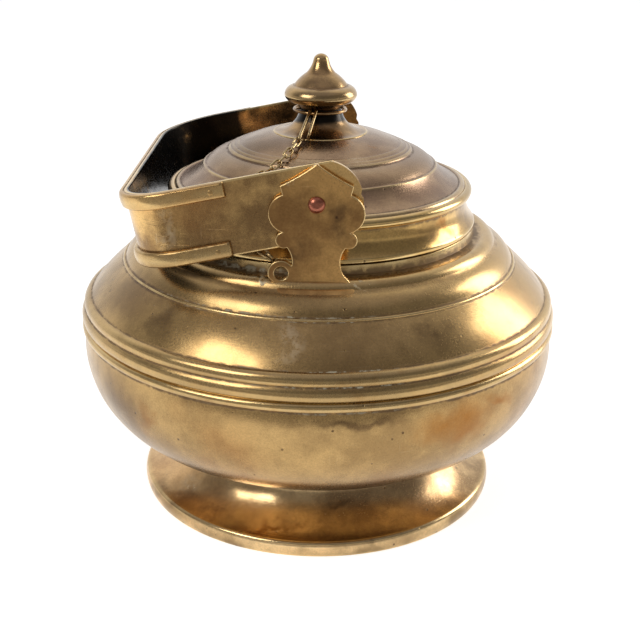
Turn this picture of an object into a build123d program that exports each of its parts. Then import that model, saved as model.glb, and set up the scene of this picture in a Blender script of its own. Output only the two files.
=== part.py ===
"""Antique brass kettle: a turned pot with a domed lid, a bail handle and a lid chain.

The frame has its origin on the pot's axis where the foot meets the table. +Z is up, the front lug
faces -Y, and at rest the bail has dropped towards -X. Lengths are in millimetres, angles in degrees.
"""

import math
import os

from build123d import *

# Pot: turned brass in two halves, with a cast foot
pot_wall = 2.0
foot_radius = 93.0
foot_lip_height = 7.6
foot_waist_radius = 71.5
foot_height = 31.0
foot_wall = 3.0
foot_seat_width = 12.0
bowl_flat_radius = 70.0
bowl_depth = 58.5
belly_radius = 119.4
ring_heights = (4.5, 7.2, 5.8)
ring_proud = 1.6
girdle_draw = 3.8
lap_height = 6.0
lap_wall = 1.6
step_rise = 16.4
step_draw = 16.4
step_proud = 0.8
ledge_rise = 10.5
ledge_roll = 3.6
mouth_rise = 4.2
mouth_ring_inset = 0.9

# Neck collar and the lid that drops over it
neck_radius = 71.0
neck_wall = 2.0
neck_height = 15.3
neck_flange = 3.0
lid_clearance = 0.3
seat_clearance = 0.2
rim_wall = 2.0
rim_flare = 4.6
rim_gap = 0.8
rim_edge_height = 1.8
bead_proud = 2.5
bead_height = 4.8
bead_drop = 0.8
seat_depth = 6.0
seat_thickness = 2.8
lid_thickness = 1.8
dome_edge_height = 1.4
dome_step_radius = 58.0
dome_step_height = 11.0
dome_crown_radius = 45.5
dome_crown_height = 18.1
dome_top_height = 26.0
dome_step = 0.9

# Knob, with the tang that holds it
knob_base_radius = 23.4
knob_neck_radius = 10.7
knob_crest_radius = 17.8
knob_height = 37.6
tang_radius = 4.0
tang_clearance = 0.05
rove_radius = 9.0
rove_thickness = 1.5
peen_radius = 5.6
peen_height = 1.4

# Bail: strap, bars and pivots
arm_room = 1.5
strap_thickness = 2.2
strap_width = 34.0
crossbar_room = 5.5
strap_tip = 20.3
strap_tip_notch = 0.9
corner_radius_front = 22.0
corner_radius_rear = 31.0
bar_thickness = 2.4
bar_width = 7.2
bar_round = 1.1
bar_start_upper = 38.0
bar_start_lower = 40.5
bar_pin_radius = 1.2
bar_pin_inset = 6.0
pin_clearance = 0.03
rest_gap = 0.3

# Lugs, their rivets and washers
lug_thickness = 2.8
lug_flare = 3.2
lug_peak = 17.9
lug_shoulder_half = 15.9
lug_shoulder_rise = 8.1
lug_notch = 1.0
lug_notch_drop = 3.9
lug_lobe_half = 21.0
lug_lobe_end_half = 15.3
lug_lobe_end_drop = 12.6
lug_bead_half = 17.9
lug_bead_end_half = 12.8
lug_bead_end_drop = 19.7
lug_waist_half = 10.2
lug_waist_end_half = 11.4
lug_waist_end_drop = 32.4
lug_foot_half = 19.5
lug_foot_sunk = 5.0
pivot_rise = 34.5
rivet_radius = 2.5
rivet_head_radius = 3.75
rivet_head_height = 2.3
rivet_tail_radius = 3.6
rivet_tail_height = 0.9
rivet_clearance = 0.05
pivot_clearance = 0.08
side_play = 0.1
washer_thickness = 0.7
washer_radius = 9.0
ear_radius = 5.9
ear_hole_radius = 3.0
ear_offset = 15.4
ear_gap = 0.1

# Chain, from the knob's neck to the ear
link_length = 7.0
link_width = 3.7
link_wire = 1.0
link_slack = 0.25
turn_roll_angle = -75.0
crossing_room = 3.1
crossing_rise = 0.5
drop_count = 7
lid_link_count = 14
long_wire = 1.3
long_width = 4.7
neck_wire_size = 1.5
neck_wire_radius = 12.5
neck_wire_gap = 0.2
neck_wire_height = 10.9
neck_wire_azimuth = 20.0
long_roll_angle = 70.0
hook_wire = 1.3
hook_eye_radius = 2.2
hook_eye_side = 6.2
hook_eye_rise = 6.0
hook_tip_inset = 0.5

# Heights, added up from the table
bowl_z = foot_height
girdle_z = bowl_z + bowl_depth
groove_z = [girdle_z + sum(ring_heights[:count]) for count in range(4)]
step_z = groove_z[3] + step_rise
ledge_z = step_z + ledge_rise
ledge_top_z = ledge_z + ledge_roll
mouth_z = ledge_top_z + mouth_rise
neck_top_z = mouth_z + neck_height
rim_z = mouth_z + rim_gap
seat_z = neck_top_z + seat_clearance
dome_z = seat_z + seat_thickness
dome_top_z = dome_z + dome_top_height
pivot_z = ledge_top_z + pivot_rise
ear_z = ledge_top_z + ear_gap + ear_hole_radius
ear_drop = pivot_z - ear_z

# Radii and distances from the axis, worked out from the neck outwards
skirt_bore = neck_radius + lid_clearance
waist_radius = skirt_bore + rim_wall
rim_radius = waist_radius + rim_flare
bead_radius = waist_radius + bead_proud
arm_inner = rim_radius + arm_room
arm_outer = arm_inner + strap_thickness
lug_inner = arm_outer + washer_thickness + side_play
lug_outer = lug_inner + lug_thickness
ledge_radius = lug_outer + lug_flare
ledge_top_radius = arm_outer
step_radius = belly_radius - girdle_draw - step_draw
strap_half = strap_width / 2
strap_reach = rim_radius + crossbar_room + strap_thickness
bar_reach = strap_reach + bar_thickness

# The bail drops until the crossbar's lower edge is the rest gap above the ledge
edge_distance = math.hypot(bar_reach, strap_half)
drop_below_pivot = pivot_rise - rest_gap
bail_droop = math.degrees(math.asin(drop_below_pivot / edge_distance) - math.atan2(strap_half, bar_reach))


def outline(start, *steps):
    """Face closed by lines, and by arcs where a step is a pair: a point on the way and the end."""
    edges = []
    here = start
    for step in steps:
        if isinstance(step[0], tuple):
            edges.append(ThreePointArc(here, step[0], step[1]))
            here = step[1]
        else:
            edges.append(Line(here, step))
            here = step
    edges.append(Line(here, start))
    return make_face(edges)


def turned(face):
    """Solid turned about the pot's axis from a face drawn as radius and height."""
    return revolve(Plane.XZ * face, Axis.Z)


def cap_middle(radius, height):
    """Point half way along a dome's outline, as radius and height from the middle of its base."""
    ball = (radius**2 + height**2) / (2 * height)
    half_angle = math.asin(radius / ball) / 2
    return (ball * math.sin(half_angle), height - ball * (1 - math.cos(half_angle)))


def across(face, near, far):
    """Plate with a face drawn as X and Z, from Y = -far to Y = -near."""
    return Plane.XZ.offset(near) * extrude(face, far - near)


def rod(radius, near, far, x, z):
    """Round bar along Y at X and Z, from Y = -far to Y = -near."""
    return across(Pos(x, z) * Circle(radius), near, far)


def bowl_point(turn, wall):
    """Point of the bowl's round side, turn degrees up from its flat, wall inside the surface."""
    run = belly_radius - bowl_flat_radius
    radius = (run**2 + bowl_depth**2) / (2 * bowl_depth)
    side = radius - wall
    angle = math.radians(turn)
    return (bowl_flat_radius + side * math.sin(angle), bowl_z + radius - side * math.cos(angle))


def bowl_end_turn():
    """Angle from the bowl's flat to the girdle."""
    run = belly_radius - bowl_flat_radius
    radius = (run**2 + bowl_depth**2) / (2 * bowl_depth)
    return math.degrees(math.atan2(run, radius - bowl_depth))


def foot():
    lip_radius = foot_radius - 1.8
    lip_round = foot_radius - 0.8
    seat_inner = bowl_flat_radius - foot_seat_width
    cove = (foot_waist_radius + 7.0, foot_lip_height + 6.9)
    waist_z = foot_height - 7.0
    inner_cove = (foot_waist_radius + 4.0, foot_lip_height + 5.4)
    return turned(
        outline(
            (lip_round, 0.0),
            ((foot_radius, 0.45 * foot_lip_height), (lip_round, 0.9 * foot_lip_height)),
            (lip_radius, foot_lip_height),
            (cove, (foot_waist_radius, waist_z)),
            (bowl_flat_radius, foot_height),
            (seat_inner, foot_height),
            (seat_inner, foot_height - foot_wall),
            (foot_waist_radius - foot_wall - 1.0, foot_height - foot_wall - 3.0),
            (inner_cove, (lip_radius - foot_wall - 3.0, foot_lip_height - 2.0)),
            (lip_round - foot_wall, 0.0),
        )
    )


def bowl():
    end = bowl_end_turn()
    inner_top = belly_radius - pot_wall
    lap_radius = inner_top - lap_wall
    joint_z = groove_z[1]
    return turned(
        outline(
            (0.0, bowl_z),
            (bowl_flat_radius, bowl_z),
            (bowl_point(end / 2, 0.0), (belly_radius, girdle_z)),
            ((belly_radius + ring_proud, girdle_z + ring_heights[0] / 2), (belly_radius, joint_z)),
            (inner_top, joint_z),
            (inner_top, joint_z + lap_height),
            (lap_radius, joint_z + lap_height),
            (lap_radius, girdle_z - 4.0),
            (bowl_point(end / 2, pot_wall), (bowl_flat_radius, bowl_z + pot_wall)),
            (0.0, bowl_z + pot_wall),
        )
    )


def shoulder_surface():
    """Steps of the shoulder's outer outline, from the joint up to the mouth."""
    groove_radius = belly_radius - 0.5
    top_radius = belly_radius - girdle_draw
    slope_middle = ((top_radius + step_radius) / 2 + 0.6, (groove_z[3] + step_z) / 2 + 0.6)
    lower = (step_radius - 0.6, step_z + step_proud)
    ledge_middle = ((lower[0] + ledge_radius) / 2 + 0.6, (lower[1] + ledge_z) / 2 + 1.0)
    roll_middle = (ledge_radius - 1.6, ledge_z + 0.7 * ledge_roll)
    return [
        ((belly_radius + ring_proud - 0.2, (groove_z[1] + groove_z[2]) / 2), (groove_radius, groove_z[2])),
        ((groove_radius + 0.2, (groove_z[2] + groove_z[3]) / 2 + 0.4), (top_radius, groove_z[3])),
        (slope_middle, (step_radius, step_z)),
        lower,
        (ledge_middle, (ledge_radius, ledge_z)),
        (roll_middle, (ledge_top_radius, ledge_top_z)),
        (rim_radius, ledge_top_z + 0.2),
        (rim_radius - mouth_ring_inset, mouth_z),
        (neck_radius, mouth_z),
    ]


def shoulder():
    inner_top = belly_radius - pot_wall
    inner_slope = (step_radius - pot_wall, step_z - pot_wall)
    return turned(
        outline(
            (inner_top, groove_z[1]),
            (belly_radius, groove_z[1]),
            *shoulder_surface(),
            (neck_radius, mouth_z - pot_wall),
            (neck_radius + neck_flange, mouth_z - pot_wall),
            (neck_radius + neck_flange + 0.8, ledge_top_z - pot_wall),
            (ledge_top_radius - pot_wall, ledge_top_z - pot_wall),
            (ledge_radius - pot_wall - 0.6, ledge_z - pot_wall),
            inner_slope,
            (belly_radius - girdle_draw - pot_wall - 1.6, groove_z[3] - 1.2),
            (inner_top, groove_z[2]),
        )
    )


def shoulder_mass():
    """Everything under the shoulder's skin, to seat the lugs on it."""
    return turned(
        outline((0.0, groove_z[1]), (belly_radius, groove_z[1]), *shoulder_surface(), (0.0, mouth_z))
    )


def neck_collar():
    under = mouth_z - pot_wall
    inner = neck_radius - neck_wall
    return turned(
        outline(
            (inner, under - neck_wall),
            (neck_radius + neck_flange, under - neck_wall),
            (neck_radius + neck_flange, under),
            (neck_radius, under),
            (neck_radius, neck_top_z),
            (inner, neck_top_z),
        )
    )


def lid_rim():
    edge_top = rim_z + rim_edge_height
    cove_top = seat_z - 1.0
    cove = (waist_radius + 0.25 * rim_flare, edge_top + 0.45 * (cove_top - edge_top))
    bead_start = dome_z - bead_drop - bead_height / 2
    return turned(
        outline(
            (skirt_bore, rim_z),
            (rim_radius, rim_z),
            (rim_radius, edge_top),
            (cove, (waist_radius, cove_top)),
            (waist_radius, bead_start),
            ((bead_radius, dome_z - bead_drop), (waist_radius, bead_start + bead_height)),
            (waist_radius - 0.9, bead_start + bead_height),
            (waist_radius - 0.9, dome_z),
            (skirt_bore - seat_depth, dome_z),
            (skirt_bore - seat_depth, seat_z),
            (skirt_bore, seat_z),
        )
    )


def lid_dome():
    edge_radius = waist_radius - 0.9
    edge_z = dome_z + dome_edge_height
    step_top = dome_z + dome_step_height
    step_bottom = step_top - dome_step
    crown_z = dome_z + dome_crown_height
    hole = tang_radius + tang_clearance
    under_z = dome_top_z - lid_thickness
    sweep_middle = ((edge_radius + dome_step_radius) / 2 - 0.6, (edge_z + step_bottom) / 2 - 1.0)
    step_middle = ((dome_step_radius + dome_crown_radius) / 2 + 0.4, (step_top + crown_z) / 2 + 0.5)
    groove = (dome_crown_radius - 1.1, crown_z + 1.0)
    lip = (dome_crown_radius - 2.9, crown_z + 1.5)
    crown_middle = (0.72 * dome_crown_radius, dome_top_z - 2.4)
    crown_under = (crown_middle[0] - 0.8, crown_middle[1] - lid_thickness)
    lip_under = (lip[0] - 0.8, lip[1] - lid_thickness)
    step_under = (step_middle[0] - 1.1, step_middle[1] - lid_thickness)
    return turned(
        outline(
            (edge_radius, dome_z),
            (edge_radius, edge_z),
            (sweep_middle, (dome_step_radius + 0.4, step_bottom)),
            (dome_step_radius, step_top),
            (step_middle, (dome_crown_radius + 0.2, crown_z - 0.7)),
            (dome_crown_radius, crown_z),
            groove,
            lip,
            (crown_middle, (knob_base_radius, dome_top_z)),
            (hole, dome_top_z),
            (hole, under_z),
            (knob_base_radius - 1.0, under_z),
            (crown_under, lip_under),
            (dome_crown_radius - 2.0, crown_z - lid_thickness),
            (step_under, (dome_step_radius - 2.0, step_bottom - 1.4)),
            (edge_radius - 6.0, dome_z),
        )
    )


def knob():
    base = dome_top_z
    neck_z = base + 9.0
    crest_z = base + 18.0
    top_z = base + knob_height
    under = base - lid_thickness - rove_thickness
    peen_middle = cap_middle(peen_radius, peen_height)
    tip_radius = 0.2 * knob_crest_radius
    tip_height = 2.2
    tip_middle = cap_middle(tip_radius, tip_height)
    return turned(
        outline(
            (0.0, under - peen_height),
            ((peen_middle[0], under - peen_middle[1]), (peen_radius, under)),
            (tang_radius, under),
            (tang_radius, base),
            (knob_base_radius, base),
            (knob_base_radius - 0.3, base + 1.1),
            (0.68 * knob_base_radius, base + 2.6),
            ((knob_neck_radius + 1.0, base + 6.0), (knob_neck_radius, neck_z)),
            ((knob_neck_radius + 0.3, base + 12.8), (0.72 * knob_crest_radius, crest_z - 3.6)),
            ((0.94 * knob_crest_radius, crest_z - 2.2), (knob_crest_radius, crest_z - 0.3)),
            ((0.97 * knob_crest_radius, crest_z + 1.9), (0.78 * knob_crest_radius, crest_z + 4.4)),
            (0.74 * knob_crest_radius, crest_z + 4.6),
            ((0.62 * knob_crest_radius, crest_z + 7.2), (0.4 * knob_crest_radius, top_z - 9.2)),
            ((0.27 * knob_crest_radius, top_z - 6.0), (tip_radius, top_z - tip_height)),
            ((tip_middle[0], top_z - tip_height + tip_middle[1]), (0.0, top_z)),
        )
    )


def knob_rove():
    top = dome_top_z - lid_thickness
    hole = tang_radius + tang_clearance
    return turned(
        outline(
            (hole, top),
            (rove_radius, top),
            (rove_radius, top - rove_thickness),
            (hole, top - rove_thickness),
        )
    )


def lug_side(side):
    """Lug outline down one side from its peak to its foot, as X and Z from the pivot."""
    slope = (side * 0.54 * lug_shoulder_half, 0.4 * lug_peak + 0.6 * lug_shoulder_rise)
    notch_z = lug_shoulder_rise - lug_notch_drop
    lobe_z = (notch_z - lug_lobe_end_drop) / 2 + 0.04 * lug_lobe_half
    bead_z = -(lug_lobe_end_drop + lug_bead_end_drop) / 2
    waist_z = -(lug_bead_end_drop + lug_waist_end_drop) / 2
    return [
        (slope, (side * lug_shoulder_half, lug_shoulder_rise)),
        (side * (lug_shoulder_half - lug_notch), notch_z),
        ((side * lug_lobe_half, lobe_z), (side * lug_lobe_end_half, -lug_lobe_end_drop)),
        ((side * lug_bead_half, bead_z), (side * lug_bead_end_half, -lug_bead_end_drop)),
        ((side * lug_waist_half, waist_z), (side * lug_waist_end_half, -lug_waist_end_drop)),
        (side * lug_foot_half, -pivot_rise - lug_foot_sunk),
    ]


def lug_face():
    """Front view of a lug: its two sides mirrored, with the ear and its hole."""
    foot_z = -pivot_rise - lug_foot_sunk
    right = outline((0.0, lug_peak), *lug_side(1.0), (0.0, foot_z))
    left = outline((0.0, lug_peak), *lug_side(-1.0), (0.0, foot_z))
    ear = Pos(-ear_offset, -ear_drop) * Circle(ear_radius)
    ear_top = (-ear_offset + 0.17 * ear_radius, -ear_drop + ear_radius)
    web = outline((0.0, ear_top[1]), ear_top, (-ear_offset, foot_z), (0.0, foot_z))
    hole = Pos(-ear_offset, -ear_drop) * Circle(ear_hole_radius)
    pivot = Circle(rivet_radius + rivet_clearance)
    return left + right + ear + web - hole - pivot


def lug():
    """Front lug: a plate whose foot flares out and sits on the ledge."""
    plate = across(Pos(0.0, pivot_z) * lug_face(), lug_inner, ledge_radius)
    flare_z = pivot_z - ear_drop - ear_hole_radius
    side_view = outline(
        (-lug_inner, pivot_z + strap_width),
        (-lug_outer, pivot_z + strap_width),
        (-lug_outer, flare_z),
        ((-lug_outer - 0.3 * lug_flare, flare_z - 1.2), (-ledge_radius, ledge_z - 0.2)),
        (-ledge_radius, ledge_z - ledge_roll),
        (-lug_inner, ledge_z - ledge_roll),
    )
    profile = extrude(Plane.YZ * side_view, 2 * strap_width, both=True)
    return plate & profile


def pivot_rivet():
    """Copper rivet: domed head outside the lug, flat tail inside the strap."""
    tail_near = arm_inner - side_play - rivet_tail_height
    shank = rod(rivet_radius, tail_near, lug_outer, 0.0, pivot_z)
    tail = rod(rivet_tail_radius, tail_near, tail_near + rivet_tail_height, 0.0, pivot_z)
    cap = outline(
        (0.0, 0.0),
        (rivet_head_radius, 0.0),
        (cap_middle(rivet_head_radius, rivet_head_height), (0.0, rivet_head_height)),
    )
    head = Pos(0.0, -lug_outer, pivot_z) * Rot(X=90) * revolve(Plane.XZ * cap, Axis.Z)
    return shank + tail + head


def pivot_washer():
    blank = rod(washer_radius, lug_inner - washer_thickness, lug_inner, 0.0, pivot_z)
    return blank - rod(rivet_radius + rivet_clearance, arm_inner, lug_outer, 0.0, pivot_z)


def bail_plan(inner, reach, front_corner, rear_corner):
    """Plan of the space inside a U bail: arms at Y = -inner and inner, crossbar at X = -reach."""
    far_end = strap_tip + 2.0
    across_front = 1 - math.sqrt(0.5)
    front_middle = (-reach + across_front * front_corner, -inner + across_front * front_corner)
    rear_middle = (-reach + across_front * rear_corner, inner - across_front * rear_corner)
    return outline(
        (far_end, -inner),
        (-reach + front_corner, -inner),
        (front_middle, (-reach, -inner + front_corner)),
        (-reach, inner - rear_corner),
        (rear_middle, (-reach + rear_corner, inner)),
        (far_end, inner),
    )


def bail_layer(inside, outside):
    """Plan of a layer bent round the bail, between two distances outside the arms' inner faces."""
    front = corner_radius_front - strap_thickness
    rear = corner_radius_rear - strap_thickness
    reach = strap_reach - strap_thickness
    outer = bail_plan(arm_inner + outside, reach + outside, front + outside, rear + outside)
    return outer - bail_plan(arm_inner + inside, reach + inside, front + inside, rear + inside)


def drooped(shape):
    """Part of the bail, drawn level about the pivots, in its dropped place."""
    return Pos(0.0, 0.0, pivot_z) * Rot(Y=-bail_droop) * shape


def bar_pin_places():
    upper = (-bar_start_upper - bar_pin_inset, strap_half - bar_width / 2)
    lower = (-bar_start_lower - bar_pin_inset, -strap_half + bar_width / 2)
    return [upper, lower]


def bail_strap():
    band = Pos(0.0, 0.0, -strap_half) * extrude(bail_layer(0.0, strap_thickness), strap_width)
    shape = outline(
        (-bar_reach, -strap_half),
        (9.0, -strap_half),
        ((17.8, -0.56 * strap_half), (strap_tip, -1.2)),
        (strap_tip - strap_tip_notch, 0.0),
        (strap_tip, 1.2),
        ((17.8, 0.56 * strap_half), (9.0, strap_half)),
        (-bar_reach, strap_half),
    )
    strap = band & extrude(Plane.XZ * shape, lug_outer, both=True)
    pivot_hole = rod(rivet_radius + pivot_clearance, -lug_outer, lug_outer, 0.0, 0.0)
    strap -= pivot_hole
    for x, z in bar_pin_places():
        strap -= rod(bar_pin_radius + pin_clearance, -lug_outer, lug_outer, x, z)
    return drooped(strap)


def bail_bar(start, low_z, pin_place):
    layer = bail_layer(strap_thickness, strap_thickness + bar_thickness)
    bar = Pos(0.0, 0.0, low_z) * extrude(layer, bar_width)
    keep = Pos(-start - bar_reach, 0.0, 0.0) * Box(2 * bar_reach, 4 * lug_outer, 4 * strap_width)
    bar = bar & keep
    skin = bail_layer(strap_thickness + 0.9 * bar_thickness, strap_thickness + 1.1 * bar_thickness)
    zone = Pos(0.0, 0.0, low_z - 1.0) * extrude(skin, bar_width + 2.0)
    outer_edges = [edge for edge in bar.edges() if zone.is_inside(edge @ 0.5)]
    bar = fillet(outer_edges, bar_round)
    x, z = pin_place
    bar -= rod(bar_pin_radius + pin_clearance, -lug_outer, lug_outer, x, z)
    return drooped(bar)


def bar_pins():
    """Flush pins through the bars' ends and the strap, two at each end."""
    pins = []
    for x, z in bar_pin_places():
        for near, far in ((arm_inner, arm_outer + bar_thickness), (-arm_outer - bar_thickness, -arm_inner)):
            pins.append(drooped(rod(bar_pin_radius, near, far, x, z)))
    return Compound(pins)


def wire_link(length, width, wire):
    """Oval link about the origin, its length along X and its loop in the XY plane."""
    between_ends = length - width
    path = SlotCenterToCenter(between_ends, width - wire).wire()
    first = path.edges()[0]
    section = Plane(origin=first @ 0, z_dir=first % 0) * Circle(wire / 2)
    return sweep(section, path=path)


def laid(start, end, out, roll, wire):
    """Link from one joint of the chain to the next, rolled about its length from the direction out."""
    along = (end - start).normalized()
    side = along.cross(out).normalized()
    up = side.cross(along)
    turn = math.radians(roll)
    face = up * math.cos(turn) + side * math.sin(turn)
    return Plane(origin=(start + end) * 0.5, x_dir=along, z_dir=face) * wire


def spot(radius, azimuth, height):
    """Point at a radius and height, azimuth degrees from -Y towards -X."""
    angle = math.radians(azimuth)
    return Vector(-radius * math.sin(angle), -radius * math.cos(angle), height)


def link_pitch():
    return link_length - 2 * link_wire - link_slack


def ear_centre():
    return (-ear_offset, ear_z)


def hook_eye():
    """Joint between the last link and the hook, behind the front ear."""
    x, z = ear_centre()
    return Vector(x - hook_eye_side, -arm_inner + 1.0, z + hook_eye_rise)


def rim_crossing():
    """Joint where the chain goes over the lid's bead, one drop run away from the hook's eye."""
    eye = hook_eye()
    radius = bead_radius + crossing_room
    height = dome_z + crossing_rise
    eye_radius = math.hypot(eye.X, eye.Y)
    eye_azimuth = math.degrees(math.atan2(-eye.X, -eye.Y))
    level = math.sqrt((drop_count * link_pitch()) ** 2 - (height - eye.Z) ** 2)
    spread = math.acos((radius**2 + eye_radius**2 - level**2) / (2 * radius * eye_radius))
    return spot(radius, eye_azimuth + math.degrees(spread), height)


def lid_route():
    """Chain's route over the lid from the rim inwards, as hand-chosen points after the first."""
    step_z = dome_z + dome_step_height
    crown_z = dome_z + dome_crown_height
    return [
        rim_crossing(),
        spot(bead_radius + crossing_room - 1.9, 40.6, dome_z + 2.9),
        spot(bead_radius - 2.4, 42.2, dome_z + 4.9),
        spot(bead_radius - 6.0, 41.6, dome_z + 7.0),
        spot(bead_radius - 10.1, 38.6, dome_z + 8.8),
        spot(dome_step_radius, 31.0, step_z + 2.6),
        spot(dome_crown_radius + 4.5, 24.5, crown_z + 0.3),
        spot(dome_crown_radius - 5.5, 20.5, dome_top_z - 2.4),
        spot(dome_crown_radius - 15.5, 19.5, dome_top_z + 1.2),
        spot(knob_base_radius - 3.4, 20.5, dome_top_z + 3.8),
        spot(neck_wire_radius - 0.5, 22.0, dome_top_z + 7.0),
    ]


def along_route(route, pitch, count):
    """Joints along a route of straight runs, each one pitch from the last in a straight line."""
    joints = [route[0]]
    run = 0
    while len(joints) <= count:
        here = joints[-1]
        while (route[run + 1] - here).length < pitch:
            run += 1
        start = route[run]
        span = route[run + 1] - start
        low = 0.0
        high = 1.0
        for _ in range(40):
            middle = (low + high) / 2
            if (start + span * middle - here).length < pitch:
                low = middle
            else:
                high = middle
        joints.append(start + span * high)
    return joints


def lid_joints():
    return along_route(lid_route(), link_pitch(), lid_link_count)


def lid_links():
    """Small links that lie on the lid, leaning alternately to the left and to the right."""
    wire = wire_link(link_length, link_width, link_wire)
    joints = lid_joints()
    links = []
    for number in range(lid_link_count):
        start = joints[number]
        end = joints[number + 1]
        out = Vector(start.X, start.Y, 1.2 * bead_radius)
        roll = 45.0 if number % 2 else -45.0
        links.append(laid(start, end, out, roll, wire))
    return Compound(links)


def drop_links():
    """Links from the lid's rim down to the hook, the first one kept apart as the turning link."""
    wire = wire_link(link_length, link_width, link_wire)
    start = rim_crossing()
    step = (hook_eye() - start) * (1 / drop_count)
    out = Vector(start.X, start.Y, 0.0)
    links = []
    for number in range(drop_count):
        roll = 45.0 if number % 2 else -45.0
        if number == 0:
            roll = turn_roll_angle
        links.append(laid(start + step * number, start + step * (number + 1), out, roll, wire))
    return links


def neck_wire_centre():
    """Middle of the neck wire, pulled off the axis by the chain."""
    shift = neck_wire_radius - neck_wire_size / 2 - knob_neck_radius - neck_wire_gap
    return spot(shift, neck_wire_azimuth, dome_top_z + neck_wire_height)


def neck_wire():
    return Pos(neck_wire_centre()) * Torus(neck_wire_radius, neck_wire_size / 2)


def long_link(azimuth, end):
    """Long loop from the neck wire down to a joint on the lid."""
    top = neck_wire_centre() + spot(neck_wire_radius, azimuth, 0.0)
    reach = (end - top).normalized()
    start = top - reach * ((long_wire + neck_wire_size + link_slack) / 2)
    tail = end + reach * ((long_wire + link_slack) / 2)
    length = (tail - start).length + long_wire
    return laid(start, tail, Vector(0.0, 0.0, 1.0), long_roll_angle, wire_link(length, long_width, long_wire))


def ear_hook():
    """Wire hook: an eye on the last link, a shank behind the ear and a tip inside its hole."""
    eye = hook_eye()
    x, z = ear_centre()
    pull = (eye - rim_crossing()).normalized()
    centre = eye + pull * (hook_eye_radius - (hook_wire + link_slack) / 2)
    hold = ear_hole_radius - hook_wire / 2 - link_slack
    lean = math.atan2(centre.Z - z, centre.X - x)
    bend = Vector(x + hold * math.cos(lean), centre.Y, z + hold * math.sin(lean))
    tip = Vector(bend.X, -lug_outer + hook_tip_inset, bend.Z)
    top = centre + (bend - centre).normalized() * hook_eye_radius
    path = FilletPolyline(tip, bend, top, radius=1.2 * hook_wire)
    shank = sweep(Plane(origin=tip, z_dir=bend - tip) * Circle(hook_wire / 2), path=path)
    loop = Plane(origin=centre, z_dir=pull.cross(bend - centre)) * Torus(hook_eye_radius, hook_wire / 2)
    return shank + loop


def half_turn(shape):
    """The same piece at the rear."""
    return Rot(Z=180) * shape


def main():
    os.makedirs("parts", exist_ok=True)
    mass = shoulder_mass()
    front_lug = lug() - mass
    joints = lid_joints()
    drops = drop_links()
    pin_upper, pin_lower = bar_pin_places()
    pieces = {
        "foot_ring": foot(),
        "bowl": bowl(),
        "shoulder": shoulder(),
        "neck_collar": neck_collar(),
        "lug_front": front_lug,
        "lug_rear": half_turn(front_lug),
        "pivot_rivet_front": pivot_rivet(),
        "pivot_rivet_rear": half_turn(pivot_rivet()),
        "pivot_washer_front": pivot_washer(),
        "pivot_washer_rear": half_turn(pivot_washer()),
        "bail_strap": bail_strap(),
        "bail_bar_upper": bail_bar(bar_start_upper, strap_half - bar_width, pin_upper),
        "bail_bar_lower": bail_bar(bar_start_lower, -strap_half, pin_lower),
        "bar_pins": bar_pins(),
        "lid_dome": lid_dome(),
        "lid_rim": lid_rim(),
        "knob": knob(),
        "knob_rove": knob_rove(),
        "neck_wire": neck_wire(),
        "long_link_left": long_link(23.0, joints[-1]),
        "long_link_right": long_link(9.0, spot(25.0, 12.0, dome_top_z + 2.6)),
        "lid_links": lid_links(),
        "turn_link": drops[0],
        "drop_links": Compound(drops[1:]),
        "ear_hook": ear_hook(),
    }
    for name, shape in pieces.items():
        export_step(shape, f"parts/{name}.step")
    print("droop", bail_droop, "pivot", pivot_z, "top", dome_top_z + knob_height)
    print("crossing", rim_crossing(), "eye", hook_eye(), "first joint", joints[-1])


main()
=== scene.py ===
# %% [markdown]
# # An antique brass pot with a domed lid, a bail and a lid chain
#
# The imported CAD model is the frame: it says where every piece is and how it moves. This lesson
# dresses that frame. The pot was turned on a lathe, so most of it is a profile carried round an
# axis, and the rest is bent strap, cut plate and wire. All the interest is in the metal: brass
# that has been polished, handled and stained for a hundred years. Sizes are in millimetres and
# angles in radians, and lamps, the floor and shader patterns are in metres.

import bmesh
import bpy
import numpy as np
from mathutils import Matrix, Vector


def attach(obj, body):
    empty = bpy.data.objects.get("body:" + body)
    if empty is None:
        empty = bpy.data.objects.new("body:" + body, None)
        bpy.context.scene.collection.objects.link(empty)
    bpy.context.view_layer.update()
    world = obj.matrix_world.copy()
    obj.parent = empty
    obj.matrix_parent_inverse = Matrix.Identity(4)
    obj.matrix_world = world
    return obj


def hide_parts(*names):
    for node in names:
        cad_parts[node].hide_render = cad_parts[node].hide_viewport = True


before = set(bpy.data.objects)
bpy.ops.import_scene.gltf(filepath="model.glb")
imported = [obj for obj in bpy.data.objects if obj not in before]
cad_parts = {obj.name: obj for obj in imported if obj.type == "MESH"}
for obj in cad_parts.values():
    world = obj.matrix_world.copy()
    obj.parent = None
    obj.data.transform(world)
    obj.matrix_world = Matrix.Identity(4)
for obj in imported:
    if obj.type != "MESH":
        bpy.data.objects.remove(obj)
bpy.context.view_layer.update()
MM = 0.001

# %% [markdown]
# ## The camera
#
# The photograph was taken from a little above, close enough for the rear to look smaller. The
# camera's distance, height and lens were worked out from the ellipses of the foot, the girdle and
# the lid. It stands almost square to the front lug and is rolled by well under a degree.

# %% Place the camera
CAMERA_BACK = 560.0
CAMERA_HEIGHT = 306.1
CAMERA_PITCH = 0.37535
CAMERA_YAW = -0.00163
CAMERA_ROLL = 0.01186
CAMERA_SWING = 0.0145
LENS = 64.35


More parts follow.
